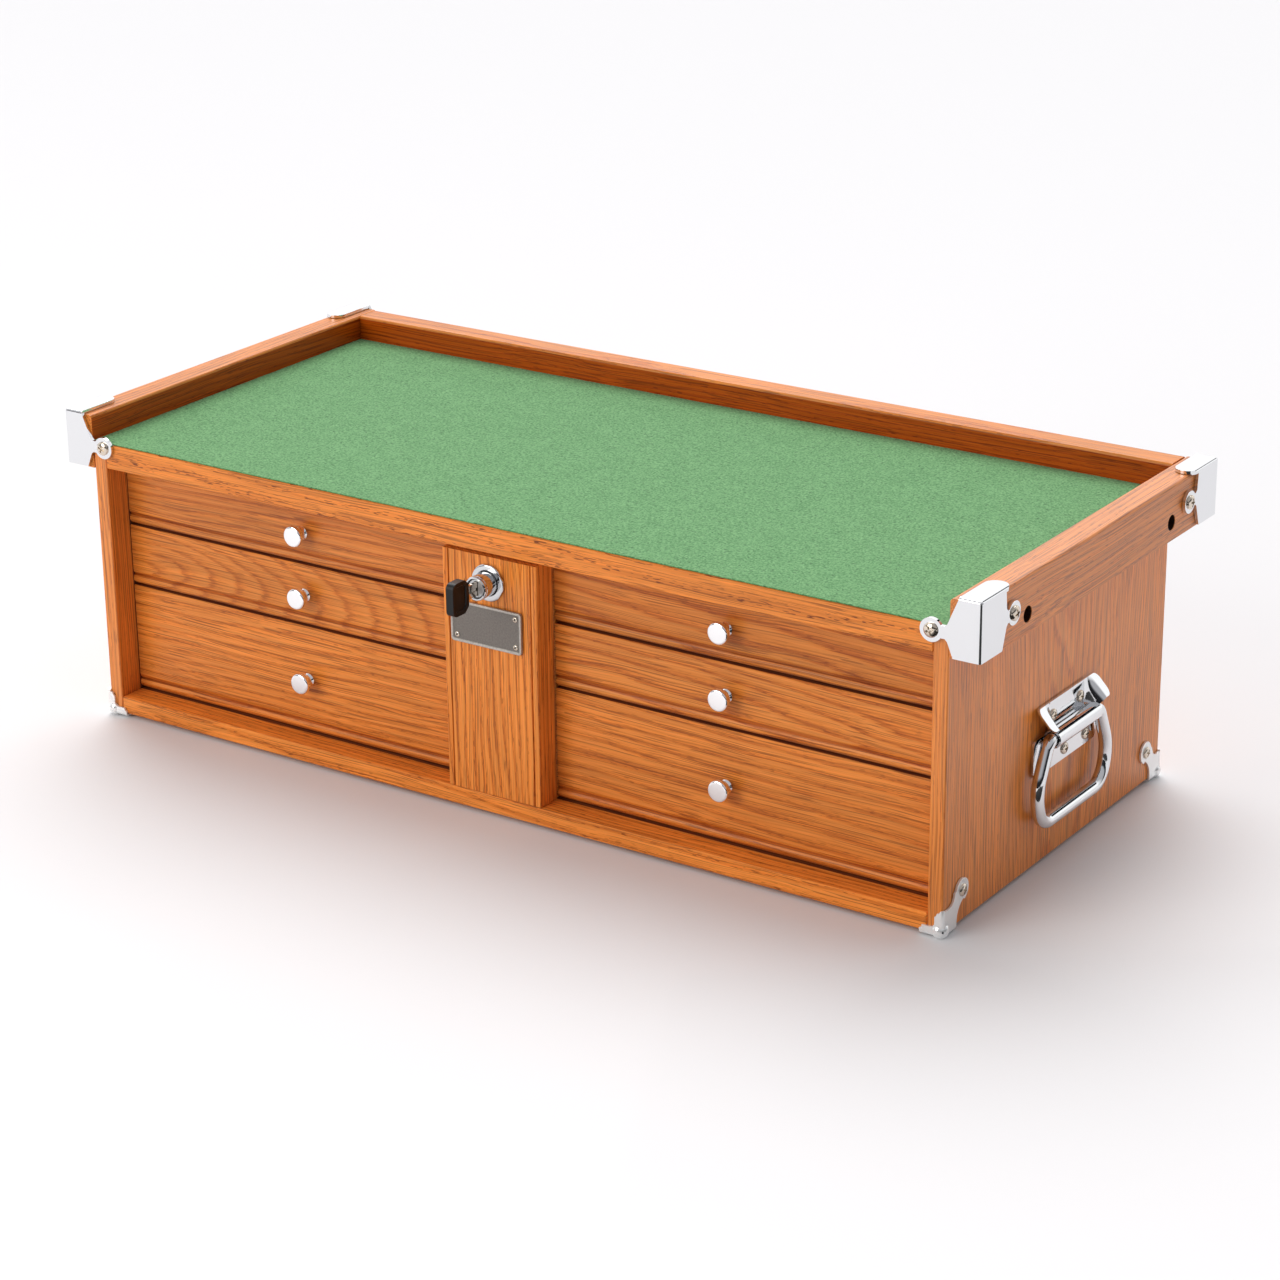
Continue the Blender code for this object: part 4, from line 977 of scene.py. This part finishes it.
def turnKnob():
    r, stem, foot = knob["radius"], knob["stem"], knob["foot"]
    tip = knob["reach"]
    profile = [(0, 0.3), (foot, 0.3), (foot, 1.1), (foot - 0.4, 1.5), (stem + 0.3, 2.2), (stem, 3.2), (stem, 5.2),
               (stem + 0.7, 6.6), (stem + 2.2, 7.5), (r - 0.4, 8.0), (r, 8.5), (r, tip - 1.1), (r - 0.25, tip - 0.5),
               (r - 0.8, tip - 0.15), (r - 1.6, tip), (0, tip)]
    points = [at(a, knob["face"] - b, 0) for a, b in profile]
    return turnProfile("knob", points, at(0, 0, 0), (0, 1, 0), 48)


knobMaster = turnKnob()
for side, handed in (("left", -1), ("right", 1)):
    for row, height in knob["rows"].items():
        turned = copyOf(knobMaster, side + "_" + row + "_turnedKnob")
        turned.location = (handed * knob["spacing"] * mm, 0, height * mm)
        # the knobs' brighter chrome is painted light
        finishPiece(turned, paintedLightKnobChrome, side + "_" + row + "_drawer", [side + "_" + row + "_knob"])
discard(knobMaster)
print("knobs turned")


# lock: faceted bezel, cylinder with a bright rim, plug with its keyway, and the key
lock = {"height": 159.0, "face": 0.8, "bezel": 12.4, "flats": 24.0, "thick": 2.2, "bore": 8.35, "tube": 9.75,
        "tail": 26.0, "cylinder": 8.0, "reach": 14.8, "rim": 1.5, "recess": 1.2, "plug": 22.0, "bolt": (4.5, 8.0),
        "blade": (2.2, 9.0), "shank": 10.0, "bow": (16.5, 22.0, 5.6), "bowPanel": (2.6, 0.5, 0.7), "cuts": 5,
        "ease": {"bezel": 0.3, "plug": 0.15, "bow": 0.9, "blade": 0.15}}


def onLock(out, y, up=0):
    return at(out, lock["face"] + y, lock["height"] + up)


def turnLock(name, profile, steps=48):
    return turnProfile(name, [onLock(a, b) for a, b in profile], onLock(0, 0), (0, 1, 0), steps)


def makeBezel():
    back, front = -case["gap"], -case["gap"] - lock["thick"]
    r, bore, tube = lock["bezel"], lock["bore"], lock["tube"]
    profile = [(bore, lock["tail"]), (tube, lock["tail"]), (tube, back), (r, back), (r, front + 0.9),
               (r - 0.5, front + 0.35), (r - 1.3, front), (bore + 0.5, front), (bore, front + 0.5),
               (bore, lock["tail"])]
    made = turnLock("facetedBezel", profile)
    corners = lock["flats"] / math.sqrt(3)
    nut = roundedOutline([(a, b, 3.0) for a, b in arcPoints((0, 0), corners, 0, 300, 5)], 5)
    combine(made, pullOutline("flats", [onLock(a, -6, b) for a, b in nut], Vector((0, 50 * mm, 0))),
            "INTERSECT")
    easeEdges(made, lock["ease"]["bezel"] * mm)
    return made


def makeCylinder():
    front, tail = -lock["reach"], lock["tail"]
    r, hollow = lock["cylinder"], lock["cylinder"] - lock["rim"]
    bolt, length = lock["bolt"]
    deep = front + lock["recess"] + lock["plug"] + 0.35
    profile = [(0, tail + length), (bolt - 0.6, tail + length), (bolt, tail + length - 0.6), (bolt, tail), (r, tail),
               (r, front + 2.4), (r - 0.25, front + 2.2), (r - 0.25, front + 1.8), (r, front + 1.6), (r, front + 0.5),
               (r - 0.5, front), (hollow + 0.3, front), (hollow, front + 0.4), (hollow, deep), (0, deep)]
    return turnLock("lockCylinder", profile)


def makePlug():
    face = -lock["reach"] + lock["recess"]
    r = lock["cylinder"] - lock["rim"] - 0.35
    tail = face + lock["plug"]
    made = turnLock("keyedPlug", [(0, tail), (r, tail), (r, face + 0.4), (r - 0.4, face), (0, face)])
    wide, tall = lock["blade"][0] / 2 + 0.3, lock["blade"][1] / 2 + 0.3
    combine(made, addBlock("keyway", onLock(-wide, face - 1, -tall), onLock(wide, face + 14, tall)), "DIFFERENCE")
    easeEdges(made, lock["ease"]["plug"] * mm)
    return made


def makeKey():
    shoulder = -lock["reach"] - lock["shank"]
    length, tall, thick = lock["bow"]
    front = shoulder - length
    corners = [(front, -tall / 2, 4), (shoulder - 4, -tall / 2, 3), (shoulder, -tall / 2 + 4, 2.5),
               (shoulder, tall / 2 - 4, 2.5), (shoulder - 4, tall / 2, 3), (front, tall / 2, 4)]
    outline = [onLock(-thick / 2, a, b) for a, b in roundedOutline(corners, 5)]
    bow = pullOutline("keyBow", outline, Vector((thick * mm, 0, 0)))
    # each broad face is set in behind a raised rim
    pickParts(bow, "FACE", lambda face: abs(face.normal.x) > 0.9)
    rim, slope, sunk = lock["bowPanel"]
    bpy.ops.mesh.inset(thickness=rim * mm, depth=0, use_individual=True)
    bpy.ops.mesh.inset(thickness=slope * mm, depth=-sunk * mm, use_individual=True)
    leaveEdit()
    easeEdges(bow, lock["ease"]["bow"] * mm, 3, 60)
    wide, high = lock["blade"]
    tip = -lock["reach"] + lock["recess"] + 13.7
    blade = [(shoulder - 1, -high / 2), (tip - 3, -high / 2), (tip, -high / 2 + 3), (tip, high / 2 - 2),
             (tip - 2, high / 2)]
    for i in range(lock["cuts"]):  # cuts along the upper edge, inside the plug
        y = tip - 3.2 - i * 2
        blade += [(y, high / 2), (y - 0.8, high / 2 - 1.2), (y - 1.6, high / 2)]
    blade.append((shoulder - 1, high / 2))
    shank = pullOutline("keyShank", [onLock(-wide / 2, a, b) for a, b in blade], Vector((wide * mm, 0, 0)))
    groove = addBlock("groove", onLock(wide / 2 - 0.5, shoulder - 2, -0.9), onLock(wide / 2 + 1, tip + 1, 0.9))
    combine(shank, groove, "DIFFERENCE")
    easeEdges(shank, lock["ease"]["blade"] * mm)
    return bow, shank


finishPiece(makeBezel(), lockSteel, "lock_bar", ["lock_bezel"])
finishPiece(makeCylinder(), lockSteel, "lock_plunger", ["lock_cylinder"])
finishPiece(makePlug(), satinSteel, "lock_key", ["lock_plug"])
bow, shank = makeKey()
finishPiece(bow, blackPlastic, "lock_key", ["key"])
finishPiece(shank, brightNickel, "lock_key")
print("lock and key made")


# the bare plate on the lock bar, with a raised rim and a hollow rivet in each corner
barePlate = {"centre": (-2.0, 129.0), "size": (55.0, 28.0), "thick": 2.0, "rim": 1.5, "sunk": 0.7, "rivet": 1.9,
             "rivetInset": 4.6, "slope": 0.25, "corner": 2.2, "ease": 0.25, "bedded": 0.25}
plateBack = lock["face"] - barePlate["bedded"]
plateField = plateBack - barePlate["thick"] + barePlate["sunk"]


def makePlate():
    x, z = barePlate["centre"]
    halfX, halfZ = barePlate["size"][0] / 2, barePlate["size"][1] / 2
    outline = roundedBox((x - halfX, z - halfZ), (x + halfX, z + halfZ), barePlate["corner"], 5)
    made = pullOutline("barePlate", [at(a, plateBack, b) for a, b in outline],
                       Vector((0, -barePlate["thick"] * mm, 0)))
    pickParts(made, "FACE", lambda face: face.normal.y < -0.9)
    bpy.ops.mesh.inset(thickness=barePlate["rim"] * mm, depth=0)
    bpy.ops.mesh.inset(thickness=barePlate["slope"] * mm, depth=-barePlate["sunk"] * mm)
    leaveEdit()
    easeEdges(made, barePlate["ease"] * mm)
    rivets = []
    r = barePlate["rivet"]
    profile = [(0.7, 0.3), (0.7, -0.5), (1.0, -0.75), (1.4, -0.7), (r - 0.1, -0.4), (r, 0), (r, 0.3), (0.7, 0.3)]
    for sideX in (-1, 1):
        for sideZ in (-1, 1):
            cx = x + sideX * (halfX - barePlate["rivetInset"])
            cz = z + sideZ * (halfZ - barePlate["rivetInset"])
            points = [at(cx + a, plateField + b, cz) for a, b in profile]
            rivets.append(turnProfile("rivet", points, at(cx, 0, cz), (0, 1, 0), 24))
    return made, joinPieces(rivets, "plateRivets")


# the sunk field keeps the blasted grey, the rim is rubbed
def blastField(piece):
    depth = at(0, plateField, 0).y

    def inField(face):
        return face.normal.y < -0.9 and abs(face.calc_center_median().y - depth) < 0.1 * mm

    piece.data.materials.append(zinc)
    pickParts(piece, "FACE", inField)
    piece.active_material_index = 1
    bpy.ops.object.material_slot_assign()
    leaveEdit()


rivetedPlate, rivets = makePlate()
finishPiece(rivetedPlate, rubbedZinc, "lock_bar")
blastField(rivetedPlate)
finishPiece(rivets, brightNickel, "lock_bar")
print("bare plate riveted on")


# studio: a wide pale floor, soft light from above and behind, fill from the front
studio = {"floor": 40.0, "floorColour": "#e2e1e2", "fillPlace": (-1.3, -3.2, 1.5), "fillAim": (0, 0, 0.1),
          "fillSize": 2.2, "fillPower": 60, "fillColour": "#fffbf6", "sunPlace": (-0.9, 1.2, 2.6),
          "sunTurn": (-27, -22, 0), "sunPower": 2.15, "sunAngle": 48}
deselectAll()
bpy.ops.mesh.primitive_grid_add(x_subdivisions=4, y_subdivisions=4, size=studio["floor"], location=(0, 0, 0))
floor = bpy.context.object
floor.name = "studioFloor"
floor.data.materials.append(newMaterial("paleFloor", {"Base Color": linear(studio["floorColour"]), "Roughness": 0.75,
                                                      "Specular IOR Level": 0.2})[0])
deselectAll()
bpy.ops.object.light_add(type="AREA", location=studio["fillPlace"])
fill = bpy.context.object
fill.name = "frontFill"
fill.data.shape = "SQUARE"
fill.data.size = studio["fillSize"]
fill.data.energy = studio["fillPower"]
fill.data.color = linear(studio["fillColour"])[:3]
fillWay = Vector(studio["fillAim"]) - Vector(studio["fillPlace"])
fill.rotation_euler = fillWay.to_track_quat("-Z", "Y").to_euler()
deselectAll()
bpy.ops.object.light_add(type="SUN", location=studio["sunPlace"],
                         rotation=[math.radians(t) for t in studio["sunTurn"]])
overhead = bpy.context.object
overhead.name = "overheadScreen"
overhead.data.energy = studio["sunPower"]
overhead.data.angle = math.radians(studio["sunAngle"])

# a dark cloth on the floor towards the camera, which only reflections see, draws the dark lines in the chrome
darkCloth = {"start": (0.4, -0.1, 0.002), "near": 0.02, "length": 2.4, "width": 1.6, "taper": 0.3,
             "towards": (0.62, -0.78, 0), "colour": "#151515"}
deselectAll()
clothReach = darkCloth["near"] + darkCloth["length"] / 2
clothAt = Vector(darkCloth["start"]) + Vector(darkCloth["towards"]) * clothReach
bpy.ops.mesh.primitive_plane_add(size=1, location=clothAt)
cloth = bpy.context.object
cloth.name = "darkCloth"
bpy.ops.transform.resize(value=(darkCloth["length"], darkCloth["width"], 1))
applyPlace(cloth)
bpy.ops.object.mode_set(mode="EDIT")
clothMesh = bmesh.from_edit_mesh(cloth.data)
for vert in clothMesh.verts:
    vert.select = vert.co.x < clothAt.x
clothMesh.select_flush_mode()
bmesh.update_edit_mesh(cloth.data)
bpy.ops.transform.resize(value=(1, darkCloth["taper"], 1), center_override=clothAt)
bpy.ops.mesh.select_all(action="SELECT")
bpy.ops.transform.rotate(value=-math.atan2(darkCloth["towards"][1], darkCloth["towards"][0]), orient_axis="Z",
                         center_override=clothAt)
bpy.ops.object.mode_set(mode="OBJECT")
cloth.data.materials.append(newMaterial("clothBlack", {"Base Color": linear(darkCloth["colour"]),
                                                       "Roughness": 1.0})[0])
cloth.visible_camera = False
cloth.visible_diffuse = False
cloth.visible_shadow = False

# the room: a white screen behind, grey overhead, dark low in front where the camera stands; to the right of the
# screen it has a dark opening, which draws the line along each bail
room = {"front": ((0.0, "#18181a"), (0.2, "#2f2f32"), (0.34, "#b4b4b8"), (0.75, "#b8b8bb")),
        "back": ((0.0, "#e4e4e4"), (0.25, "#ffffff"), (0.58, "#ffffff"), (0.85, "#a6a6a9")),
        "openAcross": ((0.06, "#000000"), (0.09, "#ffffff"), (0.41, "#ffffff"), (0.46, "#000000")),
        "openUp": ((0.4, "#000000"), (0.43, "#ffffff"), (0.62, "#ffffff"), (0.68, "#000000")),
        "openColour": "#161618", "screenWay": (-0.56, 0.83, 0), "screenEdge": (-0.2, 0.4), "screenPower": 1.25}
world = bpy.data.worlds.new("studioRoom")
bpy.context.scene.world = world
world.use_nodes = True
roomTree = world.node_tree
look = addNode(roomTree, "ShaderNodeTexCoord", {})
lookAxes = addNode(roomTree, "ShaderNodeSeparateXYZ", {0: look.outputs["Generated"]})
toBack = addNode(roomTree, "ShaderNodeVectorMath", {0: look.outputs["Generated"], 1: room["screenWay"]},
                 operation="DOT_PRODUCT")
backShare = addNode(roomTree, "ShaderNodeMapRange", {"Value": toBack.outputs["Value"],
                                                     "From Min": room["screenEdge"][0],
                                                     "From Max": room["screenEdge"][1]})
frontTone = addNode(roomTree, "ShaderNodeValToRGB", {"Fac": lookAxes.outputs[2]})
setStops(frontTone, room["front"])
backTone = addNode(roomTree, "ShaderNodeValToRGB", {"Fac": lookAxes.outputs[2]})
setStops(backTone, room["back"])
screen = addNode(roomTree, "ShaderNodeVectorMath", {0: backTone.outputs["Color"], "Scale": room["screenPower"]},
                 operation="SCALE")
roomTone = addNode(roomTree, "ShaderNodeMix", {"Factor": backShare.outputs[0], "A": frontTone.outputs["Color"],
                                               "B": screen.outputs[0]}, data_type="RGBA")
forward = addNode(roomTree, "ShaderNodeMath", {0: lookAxes.outputs[1], 1: 0.01}, operation="MAXIMUM")
sideways = addNode(roomTree, "ShaderNodeMath", {0: lookAxes.outputs[0], 1: forward.outputs[0]}, operation="DIVIDE")
openAcross = addNode(roomTree, "ShaderNodeValToRGB", {"Fac": sideways.outputs[0]})
setStops(openAcross, room["openAcross"])
openUp = addNode(roomTree, "ShaderNodeValToRGB", {"Fac": lookAxes.outputs[2]})
setStops(openUp, room["openUp"])
opening = addNode(roomTree, "ShaderNodeMath", {0: openAcross.outputs["Color"], 1: openUp.outputs["Color"]},
                  operation="MULTIPLY")
wholeRoom = addNode(roomTree, "ShaderNodeMix", {"Factor": opening.outputs[0], "A": roomTone.outputs["Result"],
                                                "B": linear(room["openColour"])}, data_type="RGBA")
roomTree.links.new(wholeRoom.outputs["Result"], roomTree.nodes["Background"].inputs["Color"])
roomTree.nodes["Background"].inputs["Strength"].default_value = 1.0

# the camera stands where the photograph's perspective puts it; focal and across are in its pixels
camera = {"place": (1204.6, -1610.9, 894.5), "turn": (68.899, 0.558, 33.858), "focal": 3395.3, "across": 1280,
          "sensor": 36.0}
deselectAll()
bpy.ops.object.camera_add(location=at(*camera["place"]))
viewer = bpy.context.object
viewer.rotation_euler = [math.radians(t) for t in camera["turn"]]
viewer.data.sensor_width = camera["sensor"]
viewer.data.lens = camera["focal"] / camera["across"] * camera["sensor"]
viewer.data.clip_end = 100
bpy.context.scene.camera = viewer
bpy.context.scene.view_settings.view_transform = "Standard"
print("studio set")
